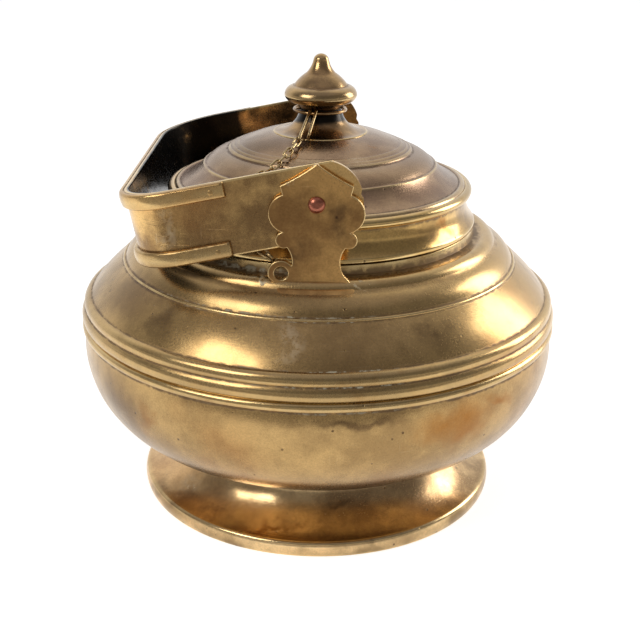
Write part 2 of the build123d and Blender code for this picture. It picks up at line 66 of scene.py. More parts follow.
def camera_matrix():
    """Columns are the camera's right, up and backward directions, swung round the pot's axis."""
    right = Vector((np.cos(CAMERA_YAW), np.sin(CAMERA_YAW), 0.0))
    level = Vector((-np.sin(CAMERA_YAW), np.cos(CAMERA_YAW), 0.0))
    up = Vector((0.0, 0.0, 1.0))
    ahead = level * np.cos(CAMERA_PITCH) - up * np.sin(CAMERA_PITCH)
    lifted = level * np.sin(CAMERA_PITCH) + up * np.cos(CAMERA_PITCH)
    rolled_right = right * np.cos(CAMERA_ROLL) + lifted * np.sin(CAMERA_ROLL)
    rolled_up = lifted * np.cos(CAMERA_ROLL) - right * np.sin(CAMERA_ROLL)
    turn = Matrix((rolled_right, rolled_up, -ahead)).transposed().to_4x4()
    place = Matrix.Translation((0.0, -CAMERA_BACK * MM, CAMERA_HEIGHT * MM))
    return Matrix.Rotation(CAMERA_SWING, 4, "Z") @ place @ turn


camera_data = bpy.data.cameras.new("camera")
camera_data.sensor_fit = "HORIZONTAL"
camera_data.lens = LENS
camera_data.clip_start = 0.01
camera = bpy.data.objects.new("camera", camera_data)
camera.matrix_world = camera_matrix()
bpy.context.scene.collection.objects.link(camera)
bpy.context.scene.camera = camera
bpy.context.scene.view_settings.view_transform = "Standard"
print("camera at", [round(value, 3) for value in camera.matrix_world.translation])

# %% [markdown]
# ## Small node helpers
#
# Every finish below is a graph of shader nodes. Writing them by hand is wordy, so one helper adds
# a node and fills its sockets with values or with links, and a few more wrap the common cases.


# %% Node helpers
def add_node(tree, kind, inputs=None, **settings):
    """Adds a node. An input is a number, a colour or another node's socket, keyed by name or place."""
    made = tree.nodes.new(kind)
    for key, value in settings.items():
        setattr(made, key, value)
    for key, value in (inputs or {}).items():
        if isinstance(value, bpy.types.NodeSocket):
            tree.links.new(value, made.inputs[key])
        else:
            made.inputs[key].default_value = value
    return made


def math_node(tree, operation, first, second, clamp=False):
    """One sum, product or larger value of two values, kept from 0 to 1 where clamp is set."""
    made = add_node(tree, "ShaderNodeMath", {0: first, 1: second}, operation=operation, use_clamp=clamp)
    return made.outputs[0]


def times(tree, first, second, clamp=False):
    """Product of two values."""
    return math_node(tree, "MULTIPLY", first, second, clamp)


def largest(tree, *values):
    """The largest of two or more values."""
    found = values[0]
    for value in values[1:]:
        found = math_node(tree, "MAXIMUM", found, value)
    return found


def vector_node(tree, operation, first, second):
    """Sum, difference or quotient of two vectors."""
    return add_node(tree, "ShaderNodeVectorMath", {0: first, 1: second}, operation=operation).outputs[0]


def window(tree, value, low, high, start=0.0, end=1.0):
    """Smooth step: start below low, end above high."""
    sockets = {"Value": value, "From Min": low, "From Max": high, "To Min": start, "To Max": end}
    made = add_node(tree, "ShaderNodeMapRange", sockets, interpolation_type="SMOOTHSTEP")
    return made.outputs["Result"]


def mixed(tree, factor, first, second, blend="MIX"):
    """First colour blended towards the second by factor. Sockets 6 and 7 are the node's colours."""
    sockets = {0: factor, 6: first, 7: second}
    made = add_node(tree, "ShaderNodeMix", sockets, data_type="RGBA", blend_type=blend)
    return made.outputs[2]


# %% [markdown]
# ## Light and background
#
# The pot stood on white paper between two soft boxes, one to the left and in front, one to the
# right and a little behind. In front of it was the dark room that the brass shows from the lug
# upwards. Metal is only as good as what it mirrors, so the world is white behind the pot and dim
# in front of it for reflections, with a pale strip low in the room and a paler ceiling. It is
# plain white for the camera, and a quiet fill for everything else. Each fade is given as the
# two values of the direction's height or depth, from -1 to 1, between which it happens.

# %% World
PAPER = (1.0, 1.0, 1.0, 1.0)
ROOM_LEVEL = (0.40, 0.385, 0.37, 1.0)
ROOM_ABOVE = (0.22, 0.215, 0.215, 1.0)
CEILING = (0.46, 0.45, 0.50, 1.0)
FILL = (0.42, 0.42, 0.43, 1.0)
ROOM_FADE = (0.0, 0.30)
STRIP_RISE = (0.10, 0.15)
STRIP_FALL = (0.25, 0.19)
STRIP_GLOW = 0.55
CEILING_FADE = (0.65, 0.98)
PAPER_FADE = (-0.05, 0.6)


def build_world():
    """White towards +Y and dim towards -Y in reflections, by the ray's own direction."""
    world = bpy.data.worlds.new("studio")
    world.use_nodes = True
    tree = world.node_tree
    tree.nodes.clear()
    direction = add_node(tree, "ShaderNodeTexCoord").outputs["Generated"]
    parts = add_node(tree, "ShaderNodeSeparateXYZ", {0: direction}).outputs
    room = mixed(tree, window(tree, parts["Z"], *ROOM_FADE), ROOM_LEVEL, ROOM_ABOVE)
    strip = times(tree, window(tree, parts["Z"], *STRIP_RISE), window(tree, parts["Z"], *STRIP_FALL))
    room = mixed(tree, times(tree, strip, STRIP_GLOW), room, PAPER)
    room = mixed(tree, window(tree, parts["Z"], *CEILING_FADE), room, CEILING)
    mirrored = mixed(tree, window(tree, parts["Y"], *PAPER_FADE), room, PAPER)
    ray = add_node(tree, "ShaderNodeLightPath").outputs
    shine = largest(tree, ray["Is Glossy Ray"], ray["Is Transmission Ray"])
    colour = mixed(tree, shine, FILL, mirrored)
    colour = mixed(tree, ray["Is Camera Ray"], colour, PAPER)
    background = add_node(tree, "ShaderNodeBackground", {"Color": colour, "Strength": 1.0})
    add_node(tree, "ShaderNodeOutputWorld", {"Surface": background.outputs[0]})
    print("world:", len(tree.nodes), "nodes")
    return world


bpy.context.scene.world = build_world()

# %% [markdown]
# A soft box is a large, near lamp. An area lamp of the same size gives the same long, soft streak
# on a turned piece, and its direction was found from where those streaks lie on the belly.

# %% Soft boxes
POT_MIDDLE = Vector((0.0, 0.0, 0.11))
LAMP_DISTANCE = 1.15


def soft_box(name, direction, size, power, tint):
    """Area lamp that looks at the middle of the pot from a direction."""
    data = bpy.data.lights.new(name, "AREA")
    data.shape = "RECTANGLE"
    data.size, data.size_y = size
    data.energy = power
    data.color = tint
    lamp = bpy.data.objects.new(name, data)
    lamp.location = POT_MIDDLE + Vector(direction).normalized() * LAMP_DISTANCE
    lamp.rotation_euler = (POT_MIDDLE - lamp.location).to_track_quat("-Z", "Y").to_euler()
    bpy.context.scene.collection.objects.link(lamp)
    print(name, "at", [round(value, 2) for value in lamp.location])


soft_box("soft_box_left", (-0.60, -0.50, 0.62), (0.56, 0.46), 4.4, (1.0, 0.985, 0.96))
soft_box("soft_box_right", (0.875, 0.34, 0.36), (0.46, 0.62), 5.4, (1.0, 0.985, 0.965))

# %% [markdown]
# The floor is a sheet of white paper that ends a hand's breadth in front of the pot. The brass
# belly mirrors it: light below, and dark above the line where the paper ends. A little glow for
# camera and mirror rays keeps the paper white while it still takes the pot's soft shadow. From
# below, the paper is clear, so that the foot's hollow can be looked at too.

# %% Paper floor
FLOOR_FRONT = -0.32
FLOOR_BACK = 7.0
FLOOR_SIDE = 5.0
FLOOR_GLOW = 0.64
FLOOR_MATTE = (0.86, 0.86, 0.86, 1.0)
FLOOR_TINT = (1.0, 0.995, 0.985, 1.0)


def build_floor():
    """One flat quad and its paper finish."""
    corners = [
        (-FLOOR_SIDE, FLOOR_FRONT, 0.0),
        (FLOOR_SIDE, FLOOR_FRONT, 0.0),
        (FLOOR_SIDE, FLOOR_BACK, 0.0),
        (-FLOOR_SIDE, FLOOR_BACK, 0.0),
    ]
    mesh = bpy.data.meshes.new("paper")
    mesh.from_pydata(corners, [], [(0, 1, 2, 3)])
    floor = bpy.data.objects.new("paper", mesh)
    bpy.context.scene.collection.objects.link(floor)
    finish = bpy.data.materials.new("paper")
    finish.use_nodes = True
    tree = finish.node_tree
    tree.nodes.clear()
    ray = add_node(tree, "ShaderNodeLightPath").outputs
    seen = largest(tree, ray["Is Camera Ray"], ray["Is Glossy Ray"], ray["Is Transmission Ray"])
    glow = times(tree, seen, FLOOR_GLOW)
    matte = add_node(tree, "ShaderNodeBsdfDiffuse", {"Color": FLOOR_MATTE})
    light = add_node(tree, "ShaderNodeEmission", {"Color": FLOOR_TINT, "Strength": glow})
    both = add_node(tree, "ShaderNodeAddShader", {0: matte.outputs[0], 1: light.outputs[0]})
    clear = add_node(tree, "ShaderNodeBsdfTransparent")
    below = add_node(tree, "ShaderNodeNewGeometry").outputs["Backfacing"]
    sheet = add_node(tree, "ShaderNodeMixShader", {0: below, 1: both.outputs[0], 2: clear.outputs[0]})
    add_node(tree, "ShaderNodeOutputMaterial", {"Surface": sheet.outputs[0]})
    mesh.materials.append(finish)
    print("paper floor:", len(tree.nodes), "nodes")
    return floor


build_floor()

# %% [markdown]
# ## The metal
#
# Old brass is never one colour. Under the shine there are clouds of brown tarnish, warmer copper
# patches where zinc has gone, black grime and pale verdigris in the grooves, bright rubbed
# ridges, fine turning lines from the lathe, stray scratches and pin-prick pits. The dark grooves
# are also painted shade: the grime layer darkens every groove where shade would fall. One node
# group makes all of these as colours, masks and heights, and each finish sets how much it wants.
# The groove and ridge masks are measured from each piece's own shape further down.
#
# Some stains have a place of their own: the orange patch low on the belly, the pale haze under
# the front lug and the brown clouds round them. Some of the brown clouds are painted shade, not
# stains: they darken the left of the belly and of the foot, the belly's underside above the foot,
# and the lid's upper left, as if less light fell there. Each is a soft ellipsoid that stains or
# darkens whatever metal it reaches, written as its middle and its half sizes in millimetres.

# %% Placed stains
STAINS = {
    "orange": (
        ((60.0, -94.0, 76.0), (32.0, 30.0, 15.0)),
        ((80.0, -78.0, 82.0), (14.0, 16.0, 7.0)),
        ((-74.0, -86.0, 72.0), (9.0, 10.0, 12.0)),
        ((16.0, -20.0, 189.5), (20.0, 8.0, 3.0)),
        ((60.0, -42.0, 150.0), (9.0, 12.0, 5.0)),
        ((-20.0, -88.0, 12.0), (20.0, 14.0, 3.0)),
    ),
    "haze": (
        ((-11.0, -106.0, 114.0), (7.0, 14.0, 14.0)),
        ((-66.0, -82.0, 158.0), (4.5, 8.0, 11.0)),
        ((-66.0, -54.0, 16.0), (10.0, 14.0, 6.0)),
        ((8.0, -42.0, 178.0), (26.0, 14.0, 5.0)),
    ),
    "brown_stain_and_shade": (
        ((-70.0, -80.0, 118.0), (12.0, 16.0, 13.0)),
        ((-85.0, -58.0, 119.0), (34.0, 36.0, 17.0)),
        # painted shade: the belly's left side darker
        ((-90.0, -72.0, 72.0), (28.0, 34.0, 26.0)),
        # painted shade: the belly's underside and the foot's top beneath it
        ((0.0, -84.0, 44.0), (76.0, 26.0, 10.0)),
        # painted shade: the lid's upper left, darkened against the left soft box's highlight
        ((-33.0, -20.0, 180.0), (28.0, 26.0, 13.0)),
        ((18.0, -117.0, 83.0), (42.0, 10.0, 3.5)),
        ((52.0, -88.0, 113.0), (14.0, 14.0, 6.0)),
        ((26.0, -90.0, 0.0), (46.0, 18.0, 7.0)),
        ((-44.0, -82.0, 0.0), (30.0, 22.0, 7.0)),
        # painted shade: the foot's left side darker
        ((-70.0, -56.0, 10.0), (26.0, 26.0, 15.0)),
        ((72.0, -58.0, 1.0), (24.0, 28.0, 8.0)),
        ((-10.0, -86.0, 150.0), (12.0, 4.0, 9.0)),
        ((9.0, -86.0, 166.0), (9.0, 4.0, 12.0)),
        ((14.0, -78.0, 19.0), (18.0, 14.0, 3.5)),
        ((-80.0, -44.0, 6.0), (18.0, 18.0, 8.0)),
    ),
    "salt": (
        ((-13.0, -84.0, 182.5), (9.0, 4.0, 3.0)),
        ((-24.0, -80.0, 137.5), (7.0, 6.0, 1.8)),
        ((20.5, -83.0, 136.0), (5.0, 5.0, 1.6)),
    ),
}
STAIN_FADE = (0.05, 1.05)


def blotch(tree, where, centre, size):
    """1 in the middle of an ellipsoid, fading to 0 at its surface: the length of offset over size."""
    moved = vector_node(tree, "SUBTRACT", where, tuple(value * MM for value in centre))
    scaled = vector_node(tree, "DIVIDE", moved, tuple(value * MM for value in size))
    far = add_node(tree, "ShaderNodeVectorMath", {0: scaled}, operation="LENGTH").outputs["Value"]
    return window(tree, far, *STAIN_FADE, 1.0, 0.0)


def placed(tree, where, kind):
    """All the stains of a kind."""
    return largest(tree, *(blotch(tree, where, centre, size) for centre, size in STAINS[kind]))


print("placed stains:", {kind: len(spots) for kind, spots in STAINS.items()})

# %% [markdown]
# The rest comes from cloudy patterns, which are cheap and fit any shape. Each has a size, written
# as blobs in a metre, a number of finer layers and their strength, and each mask is a soft cut
# through one pattern between two of its values. A painted texture could show the same, but it
# would need an unwrapped map for each piece.

# %% Patterns
PATTERN = {
    "cloud": (13.0, 4.0, 0.6),
    "mottle": (75.0, 5.0, 0.65),
    "heat": (11.0, 3.0, 0.5),
    "broken": (240.0, 4.0, 0.6),
    "patches": (14.0, 2.0, 0.5),
    "crystals": (330.0, 3.0, 0.6),
    "lathe": (1500.0, 4.0, 0.7),
    "scratch": (1.0, 0.0, 0.55),
    "scratched": (24.0, 2.0, 0.55),
    "grain": (1100.0, 3.0, 0.7),
    "scatter": (70.0, 5.0, 0.5),
    "speckle": (420.0, 4.0, 0.7),
    "smoke": (55.0, 4.0, 0.6),
    "beaten": (90.0, 2.0, 0.55),
}
CUT = {
    "tarnish": (0.42, 0.60),
    "heat": (0.50, 0.68),
    "broken": (0.30, 0.62),
    "grime_and_shade": (0.18, 0.95),
    "patches": (0.50, 0.66),
    "crystals": (0.44, 0.58),
    "green": (0.62, 0.95),
    "rubbed": (0.30, 0.55),
    "scratch": (0.70, 0.80),
    "scratched": (0.50, 0.70),
    "pitted": (0.90, 0.94),
    "speckle": (0.38, 0.58),
    "smoke": (0.70, 1.02),
    "sooted": (0.0, 0.2),
}


def noise(tree, where, name, output="Fac"):
    """Cloudy value from 0 to 1, or three of them as a colour."""
    scale, detail, roughness = PATTERN[name]
    sockets = {"Vector": where, "Scale": scale, "Detail": detail, "Roughness": roughness}
    return add_node(tree, "ShaderNodeTexNoise", sockets).outputs[output]


def cut(tree, value, name):
    """Mask that rises from 0 to 1 between the two values of its cut."""
    return window(tree, value, *CUT[name])


def patch(tree, where, name):
    """A pattern through its own cut."""
    return cut(tree, noise(tree, where, name), name)


def stretched(tree, where, scale, turn):
    """Coordinates turned and squeezed, for patterns that run in one direction."""
    sockets = {"Vector": where, "Scale": scale, "Rotation": turn}
    return add_node(tree, "ShaderNodeMapping", sockets).outputs[0]


print("patterns:", len(PATTERN), "cuts:", len(CUT))

# %% [markdown]
# Age comes first. Tarnish lies in large clouds with a mottled edge, and heat has left warmer
# patches. Dirt fills the measured grooves unevenly, darkened further as painted shade, and in some
# of them verdigris has grown on it. Ridges are rubbed wherever the mottling lets them, and soot is
# broken up like smoke.

# %% Age masks
CLOUD_SHARE = 0.65
MOTTLE_SHARE = 0.35
HEAT_RUN = ((1.0, 1.0, 1.4), (0.4, 0.3, 1.9))
DIRT_AND_SHADE_LEAST = 0.45
SMOKE_SHARE = 0.9


def age_masks(tree, where, given):
    """Where the surface is tarnished, warm, dirty or painted as shaded in a groove, salted, rubbed or
    sooty, each from 0 to 1.
    """
    mottle = noise(tree, where, "mottle")
    clouds = times(tree, noise(tree, where, "cloud"), CLOUD_SHARE)
    mingled = math_node(tree, "ADD", clouds, times(tree, mottle, MOTTLE_SHARE))
    heat = patch(tree, stretched(tree, where, *HEAT_RUN), "heat")
    uneven = math_node(tree, "ADD", patch(tree, where, "broken"), DIRT_AND_SHADE_LEAST)
    depth = times(tree, given["Crevice"], uneven)
    salts = times(tree, patch(tree, where, "patches"), patch(tree, where, "crystals"))
    salts = times(tree, cut(tree, depth, "green"), salts)
    smoke = math_node(tree, "ADD", given["Soot"], times(tree, noise(tree, where, "smoke"), SMOKE_SHARE))
    return {
        "tarnish": times(tree, cut(tree, mingled, "tarnish"), given["Tarnish amount"], True),
        "warm": times(tree, heat, given["Warm amount"], True),
        # grime_and_shade: dirt in the grooves, and painted shade there too
        "grime_and_shade": cut(tree, depth, "grime_and_shade"),
        "green": times(tree, salts, given["Verdigris amount"], True),
        "rubbed": times(tree, given["Ridge"], cut(tree, mottle, "rubbed")),
        "black": times(tree, cut(tree, smoke, "smoke"), cut(tree, given["Soot"], "sooted")),
    }


# %% [markdown]
# Then come the marks of tools and use. Lathe lines read one coordinate only, the distance along
# the piece's outline, so that they run round it. Scratches are blobs drawn out very thin in two
# directions, and pits are the middles of a few cells chosen by their random colour.

# %% Fine marks
LATHE_PLACE = {1: 0.37, 2: 0.11}
SCRATCH_RUNS = (
    ((1900.0, 130.0, 110.0), (0.7, 0.5, 0.9)),
    ((90.0, 120.0, 1700.0), (0.5, -0.9, 0.3)),
)
PIT_CELLS = 230.0
PIT_EDGE = (0.10, 0.16)


def fine_marks(tree, where, given):
    """Grain, lathe lines, blows of the hammer, scratches and pits, each from 0 to 1."""
    along = add_node(tree, "ShaderNodeCombineXYZ", {0: given["Along"], **LATHE_PLACE}).outputs[0]
    runs = [patch(tree, stretched(tree, where, *run), "scratch") for run in SCRATCH_RUNS]
    sockets = {"Vector": where, "Scale": PIT_CELLS, "Randomness": 1.0}
    cells = add_node(tree, "ShaderNodeTexVoronoi", sockets, feature="F1").outputs
    dots = window(tree, cells["Distance"], *PIT_EDGE, 1.0, 0.0)
    chosen = add_node(tree, "ShaderNodeSeparateColor", {0: cells["Color"]}).outputs[0]
    return {
        "grain": noise(tree, where, "grain"),
        "lathe": times(tree, noise(tree, along, "lathe"), given["Line amount"]),
        "beaten": noise(tree, where, "beaten"),
        "scratches": times(tree, largest(tree, *runs), patch(tree, where, "scratched")),
        "pits": times(tree, dots, cut(tree, chosen, "pitted")),
    }


# %% [markdown]
# The placed stains are read at a place that strays by up to a centimetre, which gives the smooth
# ellipsoids a cloudy edge. Haze and salts are speckled too, because they are dry and grainy.

# %% Stain masks
STAIN_DRIFT = 0.026


def stain_masks(tree, where, green):
    """The placed stains with strayed, cloudy edges, and the verdigris joined by the salt stains."""
    drift = vector_node(tree, "SUBTRACT", noise(tree, where, "scatter", "Color"), (0.5, 0.5, 0.5))
    sockets = {0: drift, "Scale": STAIN_DRIFT}
    drift = add_node(tree, "ShaderNodeVectorMath", sockets, operation="SCALE").outputs[0]
    strayed = vector_node(tree, "ADD", where, drift)
    speckle = patch(tree, where, "speckle")
    return {
        "orange": placed(tree, strayed, "orange"),
        "brown_stain_and_shade": placed(tree, strayed, "brown_stain_and_shade"),
        "haze": times(tree, placed(tree, strayed, "haze"), speckle),
        "green": largest(tree, green, times(tree, placed(tree, strayed, "salt"), speckle)),
    }


# %% [markdown]
# The group now lays the masks over each other as a painter lays glazes: stains first, some brown
# ones painted shade, then wear, then dirt with painted groove shade, soot and verdigris on top.
# Each layer has a strength and a colour. Roughness, metal and height are plain sums, where each
# mask adds or takes its share. Only colours and values leave the group, and the shader itself
# stays in each material.

# %% The aged brass group
STAIN_LAYERS = {
    "orange": (1.0, (0.31, 0.125, 0.02, 1.0)),
    # brown stains, some of them painted shade
    "brown_stain_and_shade": (0.80, (0.12, 0.066, 0.028, 1.0)),
    "haze": (0.50, (0.56, 0.45, 0.30, 1.0)),
}
WEAR_LAYERS = {
    "rubbed": (0.65, (0.82, 0.62, 0.30, 1.0)),
    "scratches": (0.10, (0.78, 0.62, 0.38, 1.0)),
    # dark grooves: dirt, and painted shade where shade would fall
    "grime_and_shade": (0.62, (0.07, 0.036, 0.018, 1.0)),
    "pits": (0.75, (0.06, 0.03, 0.015, 1.0)),
    "black": (1.0, (0.012, 0.009, 0.006, 1.0)),
    "green": (1.0, (0.47, 0.42, 0.29, 1.0)),
}
ROUGHER = {"tarnish": 0.09, "haze": 0.14, "orange": 0.08, "grime_and_shade": 0.22, "green": 0.30, "rubbed": -0.08}
LESS_METAL = {"green": -0.9, "grime_and_shade": -0.25}
HIGHER = {"grain": 0.035, "beaten": 0.5, "scratches": -0.12, "pits": -1.2, "green": 0.8}
GRAIN_SHADE = (0.25, 0.75, 0.86, 1.10)
GRAIN_ROUGH = (0.2, 0.8, -0.03, 0.04)
COLOUR_INPUTS = ("Metal", "Tarnish", "Warm")
AMOUNT_INPUTS = ("Tarnish amount", "Warm amount", "Verdigris amount", "Line amount", "Base roughness")
MASK_INPUTS = ("Crevice", "Ridge", "Along", "Soot")


def group_sockets(group, direction, kind, names):
    """Adds named sockets to a group's interface."""
    for name in names:
        group.interface.new_socket(name=name, in_out=direction, socket_type=kind)


def glazed(tree, colour, masks, layers):
    """A colour with layers over it, each blended in by its mask times its strength."""
    for name, (strength, tint) in layers.items():
        colour = mixed(tree, times(tree, masks[name], strength), colour, tint)
    return colour


def summed(tree, total, masks, shares, clamp=False):
    """Total plus each mask times its share."""
    for name, share in shares.items():
        total = math_node(tree, "ADD", total, times(tree, masks[name], share))
    return math_node(tree, "ADD", total, 0.0, clamp)


def build_brass_group():
    """Aged brass: takes colours, amounts and masks, gives colour, roughness, metalness and height."""
    tree = bpy.data.node_groups.new("aged_brass", "ShaderNodeTree")
    group_sockets(tree, "INPUT", "NodeSocketColor", COLOUR_INPUTS)
    group_sockets(tree, "INPUT", "NodeSocketFloat", AMOUNT_INPUTS + MASK_INPUTS)
    group_sockets(tree, "OUTPUT", "NodeSocketColor", ("Color",))
    group_sockets(tree, "OUTPUT", "NodeSocketFloat", ("Roughness", "Metallic", "Height"))
    given = add_node(tree, "NodeGroupInput").outputs
    where = add_node(tree, "ShaderNodeTexCoord").outputs["Object"]
    masks = age_masks(tree, where, given) | fine_marks(tree, where, given)
    masks |= stain_masks(tree, where, masks["green"])
    colour = mixed(tree, masks["tarnish"], given["Metal"], given["Tarnish"])
    colour = mixed(tree, masks["warm"], colour, given["Warm"])
    colour = glazed(tree, colour, masks, STAIN_LAYERS)
    shade = window(tree, masks["grain"], *GRAIN_SHADE)
    tone = add_node(tree, "ShaderNodeCombineXYZ", {0: shade, 1: shade, 2: shade}).outputs[0]
    colour = mixed(tree, 1.0, colour, tone, "MULTIPLY")
    rough = math_node(tree, "ADD", given["Base roughness"], window(tree, masks["grain"], *GRAIN_ROUGH))
    results = {
        "Color": glazed(tree, colour, masks, WEAR_LAYERS),
        "Roughness": summed(tree, rough, masks, ROUGHER, True),
        "Metallic": summed(tree, 1.0, masks, LESS_METAL, True),
        "Height": summed(tree, masks["lathe"], masks, HIGHER),
    }
    add_node(tree, "NodeGroupOutput", results)
    return tree


brass_group = build_brass_group()
print("aged brass group:", len(brass_group.nodes), "nodes")

# %% [markdown]
# Each finish is a Principled shader fed by that group. The body is olive brass, the foot is warmer
# and brighter, the lid has a pinkish brown bloom, the strap and its bars are golden and worn, the
# lugs have the tan of cast brass, and the rivet heads are copper. Each has a bright, a tarnished
# and a warm colour, all linear. Then come the five amounts that the group asks for, and the depth
# of its bumps in millimetres, more where metal was hammered or cast than where it was turned.

# %% Finishes
BODY = ((0.48, 0.31, 0.125), (0.19, 0.11, 0.042), (0.38, 0.17, 0.05))
FOOT = ((0.76, 0.53, 0.27), (0.27, 0.165, 0.078), (0.54, 0.29, 0.11))
LID = ((0.36, 0.235, 0.135), (0.20, 0.12, 0.075), (0.30, 0.145, 0.07))
SKIRT = ((0.54, 0.345, 0.12), (0.17, 0.095, 0.035), (0.42, 0.18, 0.055))
KNOB = ((0.48, 0.30, 0.13), (0.17, 0.10, 0.05), (0.38, 0.17, 0.06))
STRAP = ((0.76, 0.49, 0.19), (0.25, 0.145, 0.06), (0.50, 0.24, 0.08))
BAR = ((0.68, 0.46, 0.19), (0.30, 0.185, 0.075), (0.52, 0.27, 0.09))
LUG = ((0.62, 0.36, 0.125), (0.25, 0.13, 0.045), (0.46, 0.19, 0.06))
COPPER = ((0.48, 0.17, 0.10), (0.24, 0.075, 0.048), (0.40, 0.14, 0.07))
WIRE = ((0.55, 0.40, 0.19), (0.20, 0.13, 0.06), (0.40, 0.22, 0.10))
LOOKS = {
    "body_brass": (BODY, (0.62, 0.45, 0.8, 0.12, 0.235), 0.12),
    "foot_brass": (FOOT, (0.85, 0.60, 0.4, 0.15, 0.17), 0.12),
    "lid_brass": (LID, (0.85, 0.55, 0.6, 0.50, 0.21), 0.12),
    "skirt_brass": (SKIRT, (0.80, 0.50, 0.3, 0.10, 0.15), 0.12),
    "knob_brass": (KNOB, (0.90, 0.60, 0.4, 0.40, 0.17), 0.12),
    "strap_brass": (STRAP, (0.95, 0.65, 0.4, 0.00, 0.19), 0.40),
    "bar_brass": (BAR, (0.80, 0.50, 0.4, 0.00, 0.23), 0.25),
    "lug_brass": (LUG, (0.95, 0.60, 0.6, 0.00, 0.29), 0.25),
    "rivet_copper": (COPPER, (0.60, 0.30, 0.2, 0.00, 0.25), 0.12),
    "wire_brass": (WIRE, (0.70, 0.40, 0.3, 0.00, 0.22), 0.12),
}
WAX_COAT = {"Coat Weight": 0.12, "Coat Roughness": 0.35}


def brass_finish(name, colours, amounts, bump):
    """Aged metal material: the group's sockets are filled, and its outputs feed one shader."""
    made = bpy.data.materials.new(name)
    made.use_nodes = True
    tree = made.node_tree
    tree.nodes.clear()
    sockets = {key: colour + (1.0,) for key, colour in zip(COLOUR_INPUTS, colours)}
    sockets.update(zip(AMOUNT_INPUTS, amounts))
    for mask in MASK_INPUTS:
        stored = add_node(tree, "ShaderNodeAttribute", attribute_name=mask.lower())
        sockets[mask] = stored.outputs["Fac"]
    surface = add_node(tree, "ShaderNodeGroup", sockets, node_tree=brass_group).outputs
    height = {"Height": surface["Height"], "Distance": bump * MM, "Strength": 1.0}
    bumped = add_node(tree, "ShaderNodeBump", height)
    inputs = {
        "Base Color": surface["Color"],
        "Roughness": surface["Roughness"],
        "Metallic": surface["Metallic"],
        "Normal": bumped.outputs[0],
    }
    shader = add_node(tree, "ShaderNodeBsdfPrincipled", inputs | WAX_COAT)
    add_node(tree, "ShaderNodeOutputMaterial", {"Surface": shader.outputs[0]})
    return made


FINISH = {name: brass_finish(name, *look) for name, look in LOOKS.items()}
print("finishes:", sorted(FINISH))

# %% [markdown]
# ## Turned pieces
#
# A lathe makes a shape from one outline, so each turned piece here is a closed outline of radius
# and height carried round the axis. The outlines repeat the CAD's own named sizes, and the small
# offsets written in them round a bead, sink a line or tilt a step by parts of a millimetre. Two
# things make them look old: every sharp corner is rubbed round, and the outline is measured for
# grooves and ridges, which go to the finish as masks.

# %% Arcs and outlines
ARC_TURN = 0.22


def arc(start, middle, end, spacing):
    """Points after start on the circle through three points, no further apart than spacing."""
    (ax, ay), (bx, by), (cx, cy) = start, middle, end
    scale = 2.0 * (ax * (by - cy) + bx * (cy - ay) + cx * (ay - by))
    a, b, c = ax**2 + ay**2, bx**2 + by**2, cx**2 + cy**2
    x = (a * (by - cy) + b * (cy - ay) + c * (ay - by)) / scale
    y = (a * (cx - bx) + b * (ax - cx) + c * (bx - ax)) / scale
    first, halfway, last = (np.arctan2(q - y, p - x) for p, q in (start, middle, end))
    forward = (halfway - first) % (2 * np.pi) < (last - first) % (2 * np.pi)
    swing = (last - first) % (2 * np.pi) if forward else -((first - last) % (2 * np.pi))
    radius = np.hypot(ax - x, ay - y)
    count = int(max(4, np.ceil(abs(swing) * radius / spacing), np.ceil(abs(swing) / ARC_TURN)))
    turn = first + swing * np.arange(1, count + 1) / count
    return np.column_stack([x + radius * np.cos(turn), y + radius * np.sin(turn)])


def outline(start, *steps, spacing=1.6):
    """Closed outline of points. A step of two points is an arc through the first to the second."""
    points = [np.array([start], float)]
    here = start
    for step in steps:
        if isinstance(step[0], tuple):
            points.append(arc(here, step[0], step[1], spacing))
            here = step[1]
        else:
            points.append(np.array([step], float))
            here = step
    return np.vstack(points)


# %% [markdown]
# A hundred years of rubbing leaves no sharp corner. A Bevel modifier could round them on the
# finished mesh, but it would also cut the fine steps apart. Cutting the outline's own corners is
# exact, and a corner between two short sides is cut by less.

# %% Rubbed corners
SHARP_TURN = 0.33
SIDE_SHARE = 0.42
ON_AXIS = 0.01


def rubbed_round(points, radius):
    """Cuts each sharp corner with a short curve: two ends on its sides, bent towards the corner."""
    before = points - np.roll(points, 1, axis=0)
    after = np.roll(points, -1, axis=0) - points
    back = np.linalg.norm(before, axis=1)
    on = np.linalg.norm(after, axis=1)
    across = before[:, 0] * after[:, 1] - before[:, 1] * after[:, 0]
    turn = np.abs(np.arctan2(across, (before * after).sum(1)))
    steps = np.linspace(0.0, 1.0, 5)[:, None]
    made = []
    for i, point in enumerate(points):
        if turn[i] < SHARP_TURN or point[0] < ON_AXIS:
            made.append(point[None])
            continue
        reach = min(radius, SIDE_SHARE * back[i], SIDE_SHARE * on[i])
        enter = point - before[i] / back[i] * reach
        leave = point + after[i] / on[i] * reach
        made.append((1 - steps) ** 2 * enter + 2 * steps * (1 - steps) * point + steps**2 * leave)
    return np.vstack(made)


def anticlockwise(points):
    """The outline with its inside on the left of travel, from the sign of its area."""
    x, y = points.T
    area = (x * np.roll(y, -1) - np.roll(x, -1) * y).sum()
    return points if area > 0 else points[::-1]


# %% [markdown]
# Dirt stays in grooves and hands polish ridges, so both are measured; the groove mask also paints
# the shade that falls in grooves. The outline is sampled evenly and compared with its own running
# mean: in a groove the mean lies outside the metal, on a ridge inside it. This is the outline's
# curvature, blurred by the reach of a polishing cloth.

# %% Grooves and ridges
SAMPLE = 0.2
GROOVE_REACH = 1.5
TRAVEL_SAMPLES = 3


